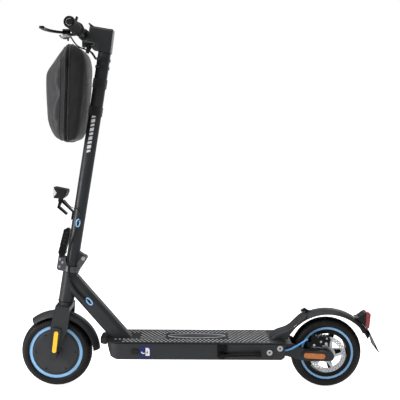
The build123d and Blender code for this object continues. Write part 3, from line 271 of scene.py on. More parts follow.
LOOKS = {
    "frame_paint": material(
        "satin_charcoal_paint", rgb(47, 48, 50), 0.4, 0.25, 0.08, 0.05, reliefs=PAINT_GRAIN),
    "motor_paint": material(
        "motor_cover_paint", rgb(56, 57, 59), 0.5, 0.3, 0.1, 0.03, reliefs=PAINT_GRAIN),
    "black_metal": material(
        "black_anodised", rgb(19, 20, 21), 0.38, 0.6, 0.2, 0.02, reliefs=PLASTIC_GRAIN),
    "cast_metal": material(
        "cast_alloy", rgb(84, 86, 89), 0.4, 0.85, 0.2, 0.012, reliefs=CAST_GRAIN),
    "steel": material(
        "brushed_steel", rgb(176, 178, 181), 0.28, 1.0, 0.1, 0.02, reliefs=STEEL_BRUSHED),
    "black_plastic": material(
        "moulded_black_plastic", rgb(17, 17, 18), 0.5, 0.0, 0.2, 0.02, reliefs=PLASTIC_GRAIN),
    "grey_plastic": material(
        "moulded_grey_plastic", rgb(40, 41, 43), 0.48, 0.0, 0.12, 0.02, reliefs=PLASTIC_GRAIN),
    "grip_rubber": material(
        "grip_rubber", rgb(20, 20, 21), 0.62, 0.0, 0.2, 0.01, reliefs=GRIP_PEBBLE),
    "mat_rubber": material(
        "deck_mat_rubber", rgb(20, 21, 22), 0.6, 0.0, 0.25, 0.02, reliefs=MAT_GRAIN),
    "tyre_rubber": material(
        "tyre_rubber", rgb(11, 11, 12), 0.55, 0.0, 0.3, 0.02, reliefs=TYRE_GRAIN),
    "blue_trim": material(
        "blue_trim", rgb(142, 192, 236), 0.4, 0.0, 0.06, 0.02, reliefs=PLASTIC_GRAIN),
    "yellow_reflector": material(
        "yellow_reflector", rgb(255, 196, 16), 0.25, 0.0, 0.06, 0.01, Coat_Weight=0.6,
        reliefs=[("pebble", 0.003, 0.0004, 0.35)]),
    "orange_reflector": material(
        "amber_reflector", rgb(186, 104, 22), 0.2, 0.0, 0.2, 0.006, Coat_Weight=0.8,
        reliefs=[("pebble", 0.003, 0.0006, 0.5)]),
    "red_lens": material(
        "red_lens", rgb(142, 6, 26), 0.14, 0.0, 0.15, 0.01, Coat_Weight=1.0,
        reliefs=[("pebble", 0.003, 0.0003, 0.25)]),
    "clear_lens": material(
        "clear_lens", rgb(205, 210, 214), 0.08, 0.0, 0.06, 0.01, Coat_Weight=1.0,
        reliefs=[("pebble", 0.002, 0.0003, 0.3)]),
    "display_glass": material(
        "display_glass", rgb(9, 9, 11), 0.1, 0.0, 0.2, 0.02, Coat_Weight=1.0,
        reliefs=[("grain", 0.02, 0.0001, 0.05)]),
    "battery_wrap": material(
        "battery_wrap", rgb(40, 90, 150), 0.4, 0.0, 0.1, 0.02, reliefs=PLASTIC_GRAIN),
    "bag_fabric": material(
        "bag_shell_fabric", rgb(20, 20, 22), 0.62, 0.0, 0.2, 0.03, Sheen_Weight=0.25,
        Sheen_Roughness=0.4, reliefs=BAG_WEAVE),
    "strap_fabric": material(
        "strap_webbing", rgb(10, 10, 11), 0.8, 0.0, 0.25, 0.01, Sheen_Weight=0.4, reliefs=WEBBING),
    "black_cable": material(
        "black_cable_jacket", rgb(8, 8, 9), 0.45, 0.0, 0.2, 0.01, reliefs=PLASTIC_GRAIN),
    "blue_cable": material(
        "blue_cable_jacket", rgb(96, 166, 228), 0.38, 0.0, 0.06, 0.01, reliefs=PLASTIC_GRAIN),
}

# looks of single pieces that differ from their slot's usual one
BAG_FRONT = material(
    "bag_front_fabric", rgb(44, 44, 46), 0.5, 0.0, 0.12, 0.03, Sheen_Weight=0.15, reliefs=FRONT_WEAVE)
# the studs' light grey is a painted highlight that stands in for the shine on the dark rubber studs
STUD_HIGHLIGHT_LOOK = material("stud_painted_highlight", rgb(168, 170, 172), 0.35, 0.0, 0.2, 0.01, reliefs=STUD_GRAIN)
# light grey for the deck badge's rim, and also for the painted highlight arcs on the grip end plugs
BADGE_RIM_AND_PAINTED_HIGHLIGHT = material("badge_rim", rgb(176, 180, 184), 0.4, 0.3, 0.08, 0.01, reliefs=PLASTIC_GRAIN)
LABEL_NAVY = material("label_navy", rgb(26, 36, 92), 0.45, 0.0, 0.08, 0.01, reliefs=PLASTIC_GRAIN)
LABEL_WHITE = material("label_white", rgb(222, 224, 226), 0.5, 0.0, 0.05, 0.01, reliefs=PLASTIC_GRAIN)
BELL_LOOK = material("bell_plate", rgb(150, 152, 155), 0.3, 0.9, 0.1, 0.01, reliefs=BELL_BRUSHED)


def paint_cad_nodes():
    """Each CAD node keeps its slot and takes the detailed material of that name."""
    for node in nodes.values():
        for slot in node.material_slots:
            slot.material = LOOKS[slot.material.name.split(".")[0]]


# ================= mesh helpers =================


def mesh_object(name, points, faces, smooth=True):
    """A mesh in the scene, from points and faces."""
    data = bpy.data.meshes.new(name)
    data.from_pydata([tuple(point) for point in points], [], faces)
    data.validate()
    if smooth:
        data.shade_smooth()
    made = bpy.data.objects.new(name, data)
    bpy.context.scene.collection.objects.link(made)
    return made


def grid_faces(across, up, place, wrap_across=False):
    """Points and faces of a grid; place gives a point from two parameters between 0 and 1."""
    spans_across = across if wrap_across else across - 1
    spans_up = up - 1
    points = [place(i / spans_across, j / spans_up) for j in range(up) for i in range(across)]
    faces = []
    for j in range(spans_up):
        for i in range(spans_across):
            right = (i + 1) % across
            low, high = j * across, (j + 1) * across
            faces.append((low + i, low + right, high + right, high + i))
    return points, faces


def along_stations(stations, share):
    """The pair of values a share of the way through a list of pairs."""
    place = share * (len(stations) - 1)
    index = min(int(place), len(stations) - 2)
    part = place - index
    low, high = stations[index], stations[index + 1]
    return low[0] + (high[0] - low[0]) * part, low[1] + (high[1] - low[1]) * part


def piece(name, points, faces, slot, body, look=None, smooth=True):
    """A mesh piece in a slot's material, riding on a body."""
    made = mesh_object(name, points, faces, smooth)
    return dress(made, slot, body, look)


def dress(made, slot, body, look=None):
    """Gives an object its slot's material, or a given look, and the body it rides on."""
    made.data.materials.append(look or LOOKS[slot])
    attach(made, body)
    return made


def add_bevel(made, width):
    """Rounds the sharp edges a little."""
    bevel = made.modifiers.new("edge", "BEVEL")
    bevel.width = width
    bevel.segments = 2
    bevel.limit_method = "ANGLE"
    bevel.angle_limit = radians(35)


def round_points(count):
    """Angles evenly spaced round a full turn."""
    return [2 * pi * k / count for k in range(count)]


def join_solids(name, solids, slot, body, look=None, smooth=False):
    """One piece from several closed solids, each given as points and faces."""
    points, faces = [], []
    for solid_points, solid_faces in solids:
        base = len(points)
        points.extend(solid_points)
        faces.extend([tuple(base + index for index in face) for face in solid_faces])
    return piece(name, points, faces, slot, body, look, smooth)


def slab(outline, lift):
    """A closed solid from an outline and a vector across its thickness."""
    count = len(outline)
    points = list(outline) + [Vector(point) + Vector(lift) for point in outline]
    faces = [tuple(reversed(range(count))), tuple(range(count, 2 * count))]
    for i in range(count):
        j = (i + 1) % count
        faces.append((i, j, count + j, count + i))
    return points, faces


def dome(centre, across, along, up, rings=5, segments=14):
    """A dome from its half axes across and along its base and the vector to its top."""
    centre, across, along, up = Vector(centre), Vector(across), Vector(along), Vector(up)
    points = []
    for ring in range(rings):
        tilt = pi / 2 * ring / rings
        for k in range(segments):
            turn = 2 * pi * k / segments
            flat = across * cos(turn) + along * sin(turn)
            points.append(centre + flat * cos(tilt) + up * sin(tilt))
    points.append(centre + up)
    faces = [tuple(reversed(range(segments)))]
    for ring in range(rings - 1):
        for k in range(segments):
            right = (k + 1) % segments
            low, high = ring * segments, (ring + 1) * segments
            faces.append((low + k, low + right, high + right, high + k))
    last = (rings - 1) * segments
    for k in range(segments):
        faces.append((last + k, last + (k + 1) % segments, rings * segments))
    return points, faces


def disc(centre, normal, radius, thickness, segments=32, chamfer=0.12):
    """A round plate with a chamfered rim, standing on its centre along the normal."""
    normal = Vector(normal).normalized()
    first = normal.orthogonal().normalized()
    second = normal.cross(first)
    levels = [(radius, 0), (radius, thickness * (1 - 2 * chamfer)), (radius * (1 - chamfer), thickness)]
    points = []
    for reach, rise in levels:
        for k in range(segments):
            turn = 2 * pi * k / segments
            points.append(Vector(centre) + (first * cos(turn) + second * sin(turn)) * reach + normal * rise)
    faces = [tuple(reversed(range(segments)))]
    for level in range(len(levels) - 1):
        low, high = level * segments, (level + 1) * segments
        for k in range(segments):
            right = (k + 1) % segments
            faces.append((low + k, low + right, high + right, high + k))
    top = (len(levels) - 1) * segments
    faces.append(tuple(range(top, top + segments)))
    return points, faces


def frames_along(path, closed=False):
    """Two steady cross vectors at each point of a path."""
    count = len(path)
    tangents = []
    for i in range(count):
        before = path[i - 1] if (i > 0 or closed) else path[i]
        after = path[(i + 1) % count] if (i < count - 1 or closed) else path[i]
        tangents.append((after - before).normalized())
    first = tangents[0].orthogonal().normalized()
    frames = []
    for tangent in tangents:
        first = (first - tangent * first.dot(tangent)).normalized()
        frames.append((first, tangent.cross(first)))
    return frames


def tube(path, radius, sides=12, closed=False):
    """A round tube along points; radius is a number or gives one from the place along and the turn."""
    frames = frames_along(path, closed)
    reach = radius if callable(radius) else (lambda along, turn: radius)
    count = len(path)
    points = []
    for i, point in enumerate(path):
        first, second = frames[i]
        for k in range(sides):
            turn = 2 * pi * k / sides
            out = first * cos(turn) + second * sin(turn)
            points.append(point + out * reach(i / (count - 1), turn / (2 * pi)))
    faces = []
    for i in range(count if closed else count - 1):
        low, high = i * sides, ((i + 1) % count) * sides
        for k in range(sides):
            right = (k + 1) % sides
            faces.append((low + k, low + right, high + right, high + k))
    if not closed:
        faces.append(tuple(reversed(range(sides))))
        faces.append(tuple(range((count - 1) * sides, count * sides)))
    return points, faces


def route_curve(name, route, diameter, resolution):
    """A smooth open NURBS line with the route's points as its control points."""
    data = bpy.data.curves.new(name, "CURVE")
    data.dimensions = "3D"
    spline = data.splines.new("NURBS")
    spline.points.add(len(route) - 1)
    for control, point in zip(spline.points, route):
        control.co = (*point, 1)
    spline.order_u = 3
    spline.use_endpoint_u = True
    spline.resolution_u = resolution
    data.bevel_depth = diameter / 2
    data.bevel_resolution = 5
    data.use_fill_caps = True
    made = bpy.data.objects.new(name, data)
    bpy.context.scene.collection.objects.link(made)
    return made


def route_points(route):
    """Points read from the route's own NURBS line."""
    line = route_curve("line", route, 0.0, 48)
    bpy.context.view_layer.update()
    evaluated = line.evaluated_get(bpy.context.evaluated_depsgraph_get())
    data = bpy.data.meshes.new_from_object(evaluated)
    points = [vertex.co.copy() for vertex in data.vertices]
    bpy.data.objects.remove(line)
    bpy.data.meshes.remove(data)
    return points


def path_length(points):
    """The length of the straight runs between points."""
    return sum((after - before).length for before, after in zip(points, points[1:]))


# ================= cords =================


HARNESS_DIAMETER = 0.006
WRAP_PITCH = 0.0052
WRAP_THICKNESS = 0.0009


def wrapped_tube(points):
    """A cable under a spiral wrap: a flat ridge winds round the core."""
    turns = path_length(points) / WRAP_PITCH
    core = HARNESS_DIAMETER / 2 - WRAP_THICKNESS

    def reach(along, turn):
        phase = (along * turns - turn) % 1.0
        rise = min(1.0, max(0.0, (0.36 - abs(phase - 0.5)) / 0.08))
        return core + WRAP_THICKNESS * rise

    return tube(points, reach, 18)


def make_harness(name, node, route):
    """A wrapped cable along a route, in place of a CAD node that is hidden."""
    points = route_points(route)
    made = mesh_object(name, *wrapped_tube(points))
    made.data.materials.append(LOOKS["black_cable"])
    tuple(points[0])
    tuple(points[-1])
    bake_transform(made)
    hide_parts(node)
    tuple(route[0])
    [tuple(point) for point in points]


def make_cable(name, route, diameter, body, slot, stands_for=None):
    """A plain round cable that rides on one body."""
    made = route_curve(name, route, diameter, 24)
    dress(made, slot, body)
    if stands_for:
        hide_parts(stands_for)
    tuple(route[0])


BAR = steer(-66.2, 0, 956)


def beside_bar(back, side, up):
    """A point behind, beside and above the middle of the handlebar, in millimetres."""
    return BAR + Vector((back, side, up)) / 1000


def make_cords():
    """Both halves of the harness, two control cables, the rear brake line and the headlight's wire."""
    side = -28.8
    make_harness(
        "harness_wrap_upper", "harness_upper",
        [steer(1.5, -23.5, 390), steer(-3, -25.5, 366), steer(-7.5, -27.8, 340), steer(-9.5, side, 312),
         steer(-7.5, side, 285), steer(-3.2, side, 262)],
    )
    make_harness(
        "harness_wrap_lower", "harness_lower",
        [steer(-3.1, side, 261.6), steer(-0.5, side, 243), steer(9, -28.5, 222), steer(24, -28, 203),
         steer(43, -27.5, 187), steer(62, -27, 176.5)],
    )
    left = beside_bar(-24, -88, -17.5)
    right = beside_bar(-14, 89, -14)
    make_cable(
        "brake_control_cable",
        [left, left + Vector((3, 22, -9)) / 1000, left + Vector((12, 44, -22)) / 1000,
         steer(-40, -30, 912), steer(-30, -14, 902), steer(-23, -5, 893)],
        0.004, "stem", "black_cable", stands_for="control_cables",
    )
    make_cable(
        "throttle_control_cable",
        [right, right + Vector((1, -24, -8)) / 1000, right + Vector((4, -46, -20)) / 1000,
         steer(-42, 24, 915), steer(-31, 12, 904), steer(-23, 5, 895)],
        0.004, "stem", "black_cable",
    )
    deck_rear = REAR_X - 0.1343
    make_cable(
        "rear_brake_line",
        [Vector((deck_rear + 0.001, -0.060, 0.128)), Vector((deck_rear + 0.017, -0.0595, 0.131)),
         Vector((deck_rear + 0.036, -0.056, 0.140)), Vector((deck_rear + 0.054, -0.051, 0.150)),
         Vector((CALIPER_X - 0.036, -0.046, CALIPER_Z + 0.008))],
        0.005, "frame", "blue_cable", stands_for="rear_brake_cable",
    )
    make_cable(
        "headlight_wire",
        [steer(-51.6, -3, 463.9), steer(-34.1, -10, 450.2), steer(-20.6, -20, 445.2), steer(-8, -23, 446.1),
         steer(3.6, -24, 437.3), steer(9, -24, 424.6), steer(3.5, -24, 405)],
        0.0022, "stem", "black_cable",
    )


# ================= tyres =================

TREAD_PITCHES = 72
TREAD_DEPTH = 0.0019
WALL_RIB = 0.0005
BEAD_SHARE = 0.06  # of the section's line, on each side


def step_up(value, edge, soft):
    """0 below an edge and 1 above it, with a soft change."""
    return min(1.0, max(0.0, (value - edge) / soft + 0.5))


def tread_depth(tilt, turn):
    """Groove depth at an angle from the crown and a share of the way round."""
    depth = 0.0
    lean = abs(tilt)
    for centre in (0.30, 0.0):
        off = abs(lean - centre)
        depth = max(depth, 1 - step_up(off, 0.055, 0.03))
    phase = (turn * TREAD_PITCHES + 0.55 * lean + (0.5 if tilt > 0 else 0)) % 1.0
    slot = 1 - step_up(abs(phase - 0.5), 0.17, 0.08)
    in_shoulder = step_up(lean, 0.42, 0.05) * (1 - step_up(lean, 1.12, 0.1))
    depth = max(depth, slot * in_shoulder)
    fine = (turn * TREAD_PITCHES * 2 + lean) % 1.0
    in_crown = step_up(lean, 0.07, 0.03) * (1 - step_up(lean, 0.24, 0.03))
    return max(depth, 0.7 * in_crown * (1 - step_up(abs(fine - 0.5), 0.12, 0.08)))


def make_tyre(name, node, body, axle_x):
    """A tyre swept round its axle, with tread grooves and two thin ribs on each side wall."""
    middle, crown, half = 0.090, 0.018, 0.025
    limit = 2.06
    skirt = [(0.0690, 0.0164), (0.0760, 0.0165), (0.0812, 0.0168)]

    def profile(v):
        """Radius, side and lean from the crown (None on a skirt), a share v along the section's line."""
        if v < BEAD_SHARE or v > 1 - BEAD_SHARE:
            near = v if v < 0.5 else 1 - v
            side = -1 if v < 0.5 else 1
            radius, out = along_stations(skirt, near / BEAD_SHARE)
            return radius, side * out, None
        tilt = -limit + 2 * limit * (v - BEAD_SHARE) / (1 - 2 * BEAD_SHARE)
        return middle + crown * cos(tilt), half * sin(tilt), tilt

    def place(u, v):
        radius, side, tilt = profile(v)
        if tilt is not None:
            cut = TREAD_DEPTH * tread_depth(tilt, u)
            rib = WALL_RIB * sum(1 - step_up(abs(abs(tilt) - ridge), 0.03, 0.02) for ridge in (1.32, 1.78))
            move = rib - cut
            out = Vector((cos(tilt) / crown, sin(tilt) / half)).normalized()
            radius += out.x * move
            side += out.y * move
        turn = 2 * pi * u
        return axle_x + radius * cos(turn), side, AXLE_Z + radius * sin(turn)

    around = TREAD_PITCHES * 8
    made = piece(name, *grid_faces(around, 96, place, wrap_across=True), "tyre_rubber", body)
    made.data.flip_normals()
    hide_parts(node)


# ================= bag =================

# the bag's own sizes are in millimetres
BAG_HALF = 75
BAG_MIDDLE = (-84, 775)
ZIP_TOP, ZIP_BOTTOM = 912, 647.3
ZIP_BACK, ZIP_SLANT = -94.5, 32.8
CREASE_AHEAD = 18
EDGE_ROUND = 11
# outline of the bag seen from its side: (behind the steering axis, along it, half width at this edge)
BAG_OUTLINE = [
    (-92, 920, 58), (-108, 912, 48), (-118, 896, 43), (-132, 869, 42), (-147, 838, 42), (-151, 822, 42),
    (-149, 800, 42), (-144, 768, 42), (-134, 718, 42), (-126, 688, 42), (-112, 663, 44), (-94, 645, 50),
    (-70, 640, 60), (-50, 643, 66), (-34, 654, 66), (-28, 690, 66), (-29, 740, 66), (-31, 786, 66),
    (-34, 820, 66), (-37, 850, 66), (-42, 878, 66), (-49, 896, 66), (-58, 908, 66), (-74, 914, 64),
]


def between(before, low, high, after, t):
    """The Catmull-Rom value a share t of the way from low to high."""
    bend = 2 * before - 5 * low + 4 * high - after
    twist = 3 * low - before - 3 * high + after
    return 0.5 * (2 * low + (high - before) * t + bend * t * t + twist * t ** 3)


def smooth_loop(points, count):
    """A closed Catmull-Rom line through points, cut evenly in parameter."""
    made = []
    total = len(points)
    for k in range(count):
        place = k / count * total
        i = int(place)
        t = place - i
        a, b, c, d = (points[(i + j - 1) % total] for j in range(4))
        made.append(tuple(between(*values, t) for values in zip(a, b, c, d)))
    return made


def bag_mesh():
    """Rings from the middle of one side over the edge band to the middle of the other."""
    outline = smooth_loop(BAG_OUTLINE, 120)
    band = 0.3
    bulge = 2.5

    def place(u, v):
        """A point a share u round the outline and v from the left side's middle to the right side's."""
        back, height, edge = outline[round(u * len(outline)) % len(outline)]
        side = -1 if v < 0.5 else 1
        share = abs(2 * v - 1)
        out_back, out_up = back - BAG_MIDDLE[0], height - BAG_MIDDLE[1]
        reach = hypot(out_back, out_up)
        if share < band:
            across = share / band
            away = bulge * (1 - across ** 2) / reach
            return steer(back + out_back * away, side * edge * across, height + out_up * away)
        inward = (share - band) / (1 - band)
        ahead = zip_line(height) - CREASE_AHEAD - back
        rise = min(1.0, inward * reach / max(EDGE_ROUND, ahead))
        rounded = rise if ahead > EDGE_ROUND else sin(rise * pi / 2)
        half = edge + (BAG_HALF - edge) * rounded
        return steer(back - out_back * inward, side * half, height - out_up * inward)

    near_middle = [0, 0.01, 0.02, 0.035, 0.055, 0.08, 0.11, 0.145, 0.19, 0.24, 0.3, 0.35]
    lows = near_middle + [0.35 + 0.15 * k / 6 for k in range(1, 6)]
    shares = lows + [0.5] + [1 - low for low in reversed(lows)]
    last = len(shares) - 1

    def place_share(u, v):
        return place(u, shares[round(v * last)])

    return grid_faces(len(outline), len(shares), place_share, wrap_across=True)


def apply_modifiers(made):
    """Turns what the modifiers make into the object's own mesh."""
    bpy.context.view_layer.update()
    evaluated = made.evaluated_get(bpy.context.evaluated_depsgraph_get())
    data = bpy.data.meshes.new_from_object(evaluated)
    made.modifiers.clear()
    made.data = data


VOXEL = 0.005
CLOTH_PRESSURE = 4.0
CLOTH_STEPS = 20
CLOTH_CAP = 0.002


def inflate(made):
    """Cloth under pressure, with each point's move capped, then smoothed."""
    bpy.context.view_layer.objects.active = made
    remesh = made.modifiers.new("voxels", "REMESH")
    remesh.mode = "VOXEL"
    remesh.voxel_size = VOXEL
    apply_modifiers(made)
    start = [vertex.co.copy() for vertex in made.data.vertices]
    cloth = made.modifiers.new("cloth", "CLOTH")
    cloth.settings.use_pressure = True
    cloth.settings.uniform_pressure_force = CLOTH_PRESSURE
    cloth.settings.effector_weights.gravity = 0
    cloth.settings.quality = 4
    for step in range(1, CLOTH_STEPS + 1):
        bpy.context.scene.frame_set(step)
    apply_modifiers(made)
    bpy.context.scene.frame_set(1)
    for vertex, rest in zip(made.data.vertices, start):
        move = vertex.co - rest
        if move.length > CLOTH_CAP:
            vertex.co = rest + move.normalized() * CLOTH_CAP
    smooth = made.modifiers.new("smooth", "SMOOTH")
    smooth.iterations = 3
    apply_modifiers(made)
    made.data.shade_smooth()


def zip_line(height):
    """How far behind the steering axis the zip runs at a height along it."""
    return ZIP_BACK + (ZIP_TOP - height) / (ZIP_TOP - ZIP_BOTTOM) * ZIP_SLANT


def zip_loop(shift):
    """A rounded loop round the bag in the zip's plane, moved back by shift."""
    low, high, corner = 641, 911, 26
    squareness = 1.6
    middle, tall = (low + high) / 2, (high - low) / 2
    straight_side, straight_up = BAG_HALF - corner, tall - corner
    made = []
    for turn in round_points(96):
        beside = max(-1.0, min(1.0, squareness * cos(turn))) * straight_side
        above = max(-1.0, min(1.0, squareness * sin(turn))) * straight_up
        direction = Vector((cos(turn) ** 3, sin(turn) ** 3)).normalized()
        side = beside + direction.x * corner
        height = middle + above + direction.y * corner
        made.append(steer(zip_line(height) + shift, side, height))
    return made


def on_shell(shell, loop):
    """A loop's points moved onto the shell, just proud of it."""
    back = shell.matrix_world.inverted()
    near = [shell.closest_point_on_mesh(back @ point)[1:3] for point in loop]
    return [shell.matrix_world @ (place + normal * 0.0003) for place, normal in near]


def clear_of_stem(shell):
    """Moves the points inside the stem's clearance forward, which leaves a recess for the stem."""
    clear = STEM_RADIUS + 0.0032
    for vertex in shell.data.vertices:
        rel = vertex.co - STEER_FOOT
        back, side = rel.dot(BACK), rel.y
        if hypot(back, side) < clear:
            front = -sqrt(clear ** 2 - side ** 2)
            if back > front:
                vertex.co += BACK * (front - back)


def zip_teeth(path):
    """Short blocks side by side along the zip."""
    wide, long, tall = 0.0052, 0.0018, 0.0018
    spacing = 0.0032
    teeth = []
    distance = 0.0
    for before, after in zip(path, path[1:] + path[:1]):
        run = (after - before).length
        along = (after - before).normalized()
        out = along.cross(BACK).normalized()
        while distance < run:
            middle = before + along * distance - out * tall / 2
            corners = [
                middle + BACK * wide / 2 * a + along * long / 2 * b
                for a, b in ((-1, -1), (1, -1), (1, 1), (-1, 1))
            ]
            teeth.append(slab(corners, out * tall))
            distance += spacing
        distance -= run
    return teeth


def make_zip(shell):
    """Piping on both sides of the zip, its teeth and puller, and the crease ahead of it."""
    for name, shift, radius, slot in (
        ("bag_piping_front", -5.5, 0.0017, "strap_fabric"),
        ("bag_piping_rear", 5.5, 0.0017, "strap_fabric"),
    ):
        piece(name, *tube(on_shell(shell, zip_loop(shift)), radius, 8, closed=True), slot, "stem")
    line = on_shell(shell, zip_loop(0))
    join_solids("bag_zip", zip_teeth(line), "black_metal", "stem")
    crease = on_shell(shell, zip_loop(-CREASE_AHEAD - 1))
    piece("bag_crease", *tube(crease, 0.0009, 8, closed=True), "bag_fabric", "stem")
    corners = ((-2, -1, 3), (2, -1, 3), (3, -1, -16), (-3, -1, -16))
    hang = slab([line[40] + Vector(corner) / 1000 for corner in corners], (0, -0.0018, 0))
    join_solids("bag_zip_puller", [hang], "black_metal", "stem")


def make_bag():
    """A padded shell in two fabrics that meet at the zip."""
    shell = mesh_object("bag_shell", *bag_mesh())
    weld = shell.modifiers.new("weld", "WELD")
    weld.merge_threshold = 0.0004
    apply_modifiers(shell)
    inflate(shell)
    clear_of_stem(shell)
    shell.data.materials.clear()
    dress(shell, "bag_fabric", "stem")
    shell.data.materials.append(BAG_FRONT)
    for face in shell.data.polygons:
        rel = face.center - STEER_FOOT
        if rel.dot(BACK) * 1000 < zip_line(rel.dot(ALONG) * 1000):
            face.material_index = 1
    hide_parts("bag")
    make_zip(shell)


# ================= small pieces =================


MAT_TOP = 0.1535
BADGE_BACK = -0.010
SUNK = 0.0001  # how far a glued piece reaches into the surface under it


def has_stud(back, side):
    """Whether the mat has a stud here: none at the badge, the two feet on it and the nose's corners."""
    in_middle = abs(side) < 0.030
    if in_middle and (back < -0.185 or -0.105 < back < 0.085):
        return False
    if back > 0.212 and abs(side) < 0.034:
        return False
    return not (back < -0.235 and abs(side) > 0.045)


def make_studs():
    """Rows of low oval studs on the deck mat, staggered from row to row; their light grey colour is a
    painted highlight.
    """
    studs = []
    first, row_pitch, stud_pitch = -0.262, 0.0118, 0.0128
    for row in range(-5, 6):
        side = row * row_pitch
        start = first + (0.5 * stud_pitch if row % 2 else 0)
        for k in range(37):
            back = start + k * stud_pitch
            if has_stud(back, side):
                foot = (back, side, MAT_TOP - SUNK)
                studs.append(dome(foot, (0.0040, 0, 0), (0, 0.0025, 0), (0, 0, 0.0015), 3, 10))
    join_solids("deck_mat_studs", studs, "mat_rubber", "frame", STUD_HIGHLIGHT_LOOK, smooth=True)


def make_badge():
    """A blank oval plate with a rim, in the middle of the mat."""
    half_long, half_wide = 0.088, 0.0215
    plate = [
        Vector((BADGE_BACK + half_long * cos(turn), half_wide * sin(turn), MAT_TOP - SUNK))
        for turn in round_points(64)
    ]
    rim = tube([point + Vector((0, 0, 0.0008)) for point in plate], 0.0011, 8, closed=True)
    join_solids("deck_badge", [slab(plate, (0, 0, 0.0007))], "grey_plastic", "frame")
    piece("deck_badge_rim", *rim, "grey_plastic", "frame", BADGE_RIM_AND_PAINTED_HIGHLIGHT)


DECK_LEFT = -0.0740


def label_layer(outline, rise, thickness):
    """A thin plate on the deck's left side; outline in millimetres, rise above the side in metres."""
    corners = [Vector((x / 1000, DECK_LEFT - rise, z / 1000)) for x, z in outline]
    return slab(corners, (0, -thickness, 0))


def make_label():
    """A navy label with a light shape, a hook and an orange spot, and no text."""
    plate = label_layer([(-181, 109), (-145, 109), (-145, 144), (-181, 144)], 0.0001, 0.0004)
    join_solids("deck_label", [plate], "battery_wrap", "frame", LABEL_NAVY)
    tab = label_layer([(-162, 115), (-150, 115), (-150, 134), (-154, 139), (-162, 139)], 0.0005, 0.0003)
    hook = label_layer(
        [(-176, 126), (-172, 121), (-165, 121), (-165, 124), (-171, 124), (-173, 128)], 0.0005, 0.0003
    )
    join_solids("deck_label_mark", [tab, hook], "clear_lens", "frame", LABEL_WHITE)
    spot = label_layer([(-158, 120), (-154, 125), (-156, 131), (-160, 126)], 0.0008, 0.0002)
    join_solids("deck_label_spot", [spot], "orange_reflector", "frame")


def stem_bar(low, high, width):
    """A thin slanted bar wrapped round the stem's left side; width in radians, heights in millimetres."""
    steps = 6
    radius = STEM_RADIUS * 1000 + 0.15
    slant = 4
    outline = []
    for edge, turns in ((high, range(steps + 1)), (low, range(steps, -1, -1))):
        for j in turns:
            share = j / steps
            turn = -pi / 2 - width / 2 + width * share
            outline.append(steer(radius * cos(turn), radius * sin(turn), edge + slant * share))
    return slab(outline, (0, -0.0003, 0))


def make_stripes():
    """Plain light bars down the stem, alternately short and tall."""
    bars = []
    height = 727.0
    for k in range(9):
        width = 0.62 - 0.03 * (k % 3)
        tall = 7.0 + 3.0 * (k % 2)
        bars.append(stem_bar(height - tall, height, width))
        height -= tall + 4.5
    join_solids("stem_stripes", bars, "clear_lens", "stem", LABEL_WHITE)


def ellipse_ring(centre, normal, along, half_along, half_across, radius):
    """A round bar bent into an ellipse."""
    normal, along = Vector(normal).normalized(), Vector(along).normalized()
    across = normal.cross(along)
    path = [
        Vector(centre) + along * half_along * cos(turn) + across * half_across * sin(turn)
        for turn in round_points(40)
    ]
    return tube(path, radius, 10, closed=True)


def make_grommets():
    """Blue rings with dark plugs, where the harness enters the stem and the down tube."""
    slope = Vector((cos(radians(49.2)), 0, -sin(radians(49.2))))
    out = Vector((0, -1, 0))
    top = steer(2.5, -19.6, 403)
    low = Vector((FRONT_X + 0.104, -0.0236, 0.2663))
    piece("stem_grommet", *ellipse_ring(top, out, ALONG, 0.0115, 0.0052, 0.0021), "blue_trim", "stem")
    piece("tube_grommet", *ellipse_ring(low, out, slope, 0.0125, 0.0056, 0.0022), "blue_trim", "frame")
    top_plug = dome(top, BACK * 0.0045, ALONG * 0.0105, out * 0.0016)
    low_plug = dome(low, slope.cross(SIDE) * 0.0048, slope * 0.0115, out * 0.0016)
    join_solids("stem_grommet_plug", [top_plug], "black_plastic", "stem", smooth=True)
    join_solids("tube_grommet_plug", [low_plug], "black_plastic", "frame", smooth=True)


GRIP_RADIUS = 0.0155
GRIP_LENGTH = 0.116
GRIP_OUTER_END = 0.235
# radius, and how far in from the outer end
GRIP_NOSE = [
    (0.0112, 0.0035), (0.0128, 0.0006), (0.0146, 0.0003), (0.0156, 0.002), (0.0158, 0.005),
    (GRIP_RADIUS, 0.008),
]
# radius, and how far out from the inner end
GRIP_FLANGE = [
    (GRIP_RADIUS, 0.006), (0.0186, 0.0048), (0.0188, 0.0012), (0.0184, 0.0), (0.0111, 0.0),
]


def grip_profile(u, v):
    """Radius and distance from the outer end, for a turn share u and a share v of the section's line."""
    nose, body = 0.1, 0.82
    if v < nose:
        return along_stations(GRIP_NOSE, v / nose)
    if v < nose + body:
        share = (v - nose) / body
        rib = 0.5 + 0.5 * cos(2 * pi * share * 30)
        knurl = 0.5 + 0.5 * cos(2 * pi * (u * 24 + share * 6))
        swell = sin(pi * share)
        radius = GRIP_RADIUS - 0.0008 + 0.0007 * swell - 0.0009 * max(rib, 0.4 * knurl)
        return radius, GRIP_NOSE[-1][1] + share * (GRIP_LENGTH - GRIP_NOSE[-1][1] - GRIP_FLANGE[0][1])
    radius, out = along_stations(GRIP_FLANGE, (v - nose - body) / (1 - nose - body))
    return radius, GRIP_LENGTH - out


def make_grips():
    """Ribbed rubber sleeves with a flange at the inner end and a rounded outer end."""
    for name, side in (("grip_left", -1), ("grip_right", 1)):

        def place(u, v, side=side):
            radius, depth = grip_profile(u, v)
            turn = 2 * pi * u
            return BAR + Vector((radius * cos(turn), side * (GRIP_OUTER_END - depth), radius * sin(turn)))

        made = piece(name, *grid_faces(72, 200, place, wrap_across=True), "grip_rubber", "stem")
        if side > 0:
            made.data.flip_normals()
        else:
            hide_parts("handlebar_grips")


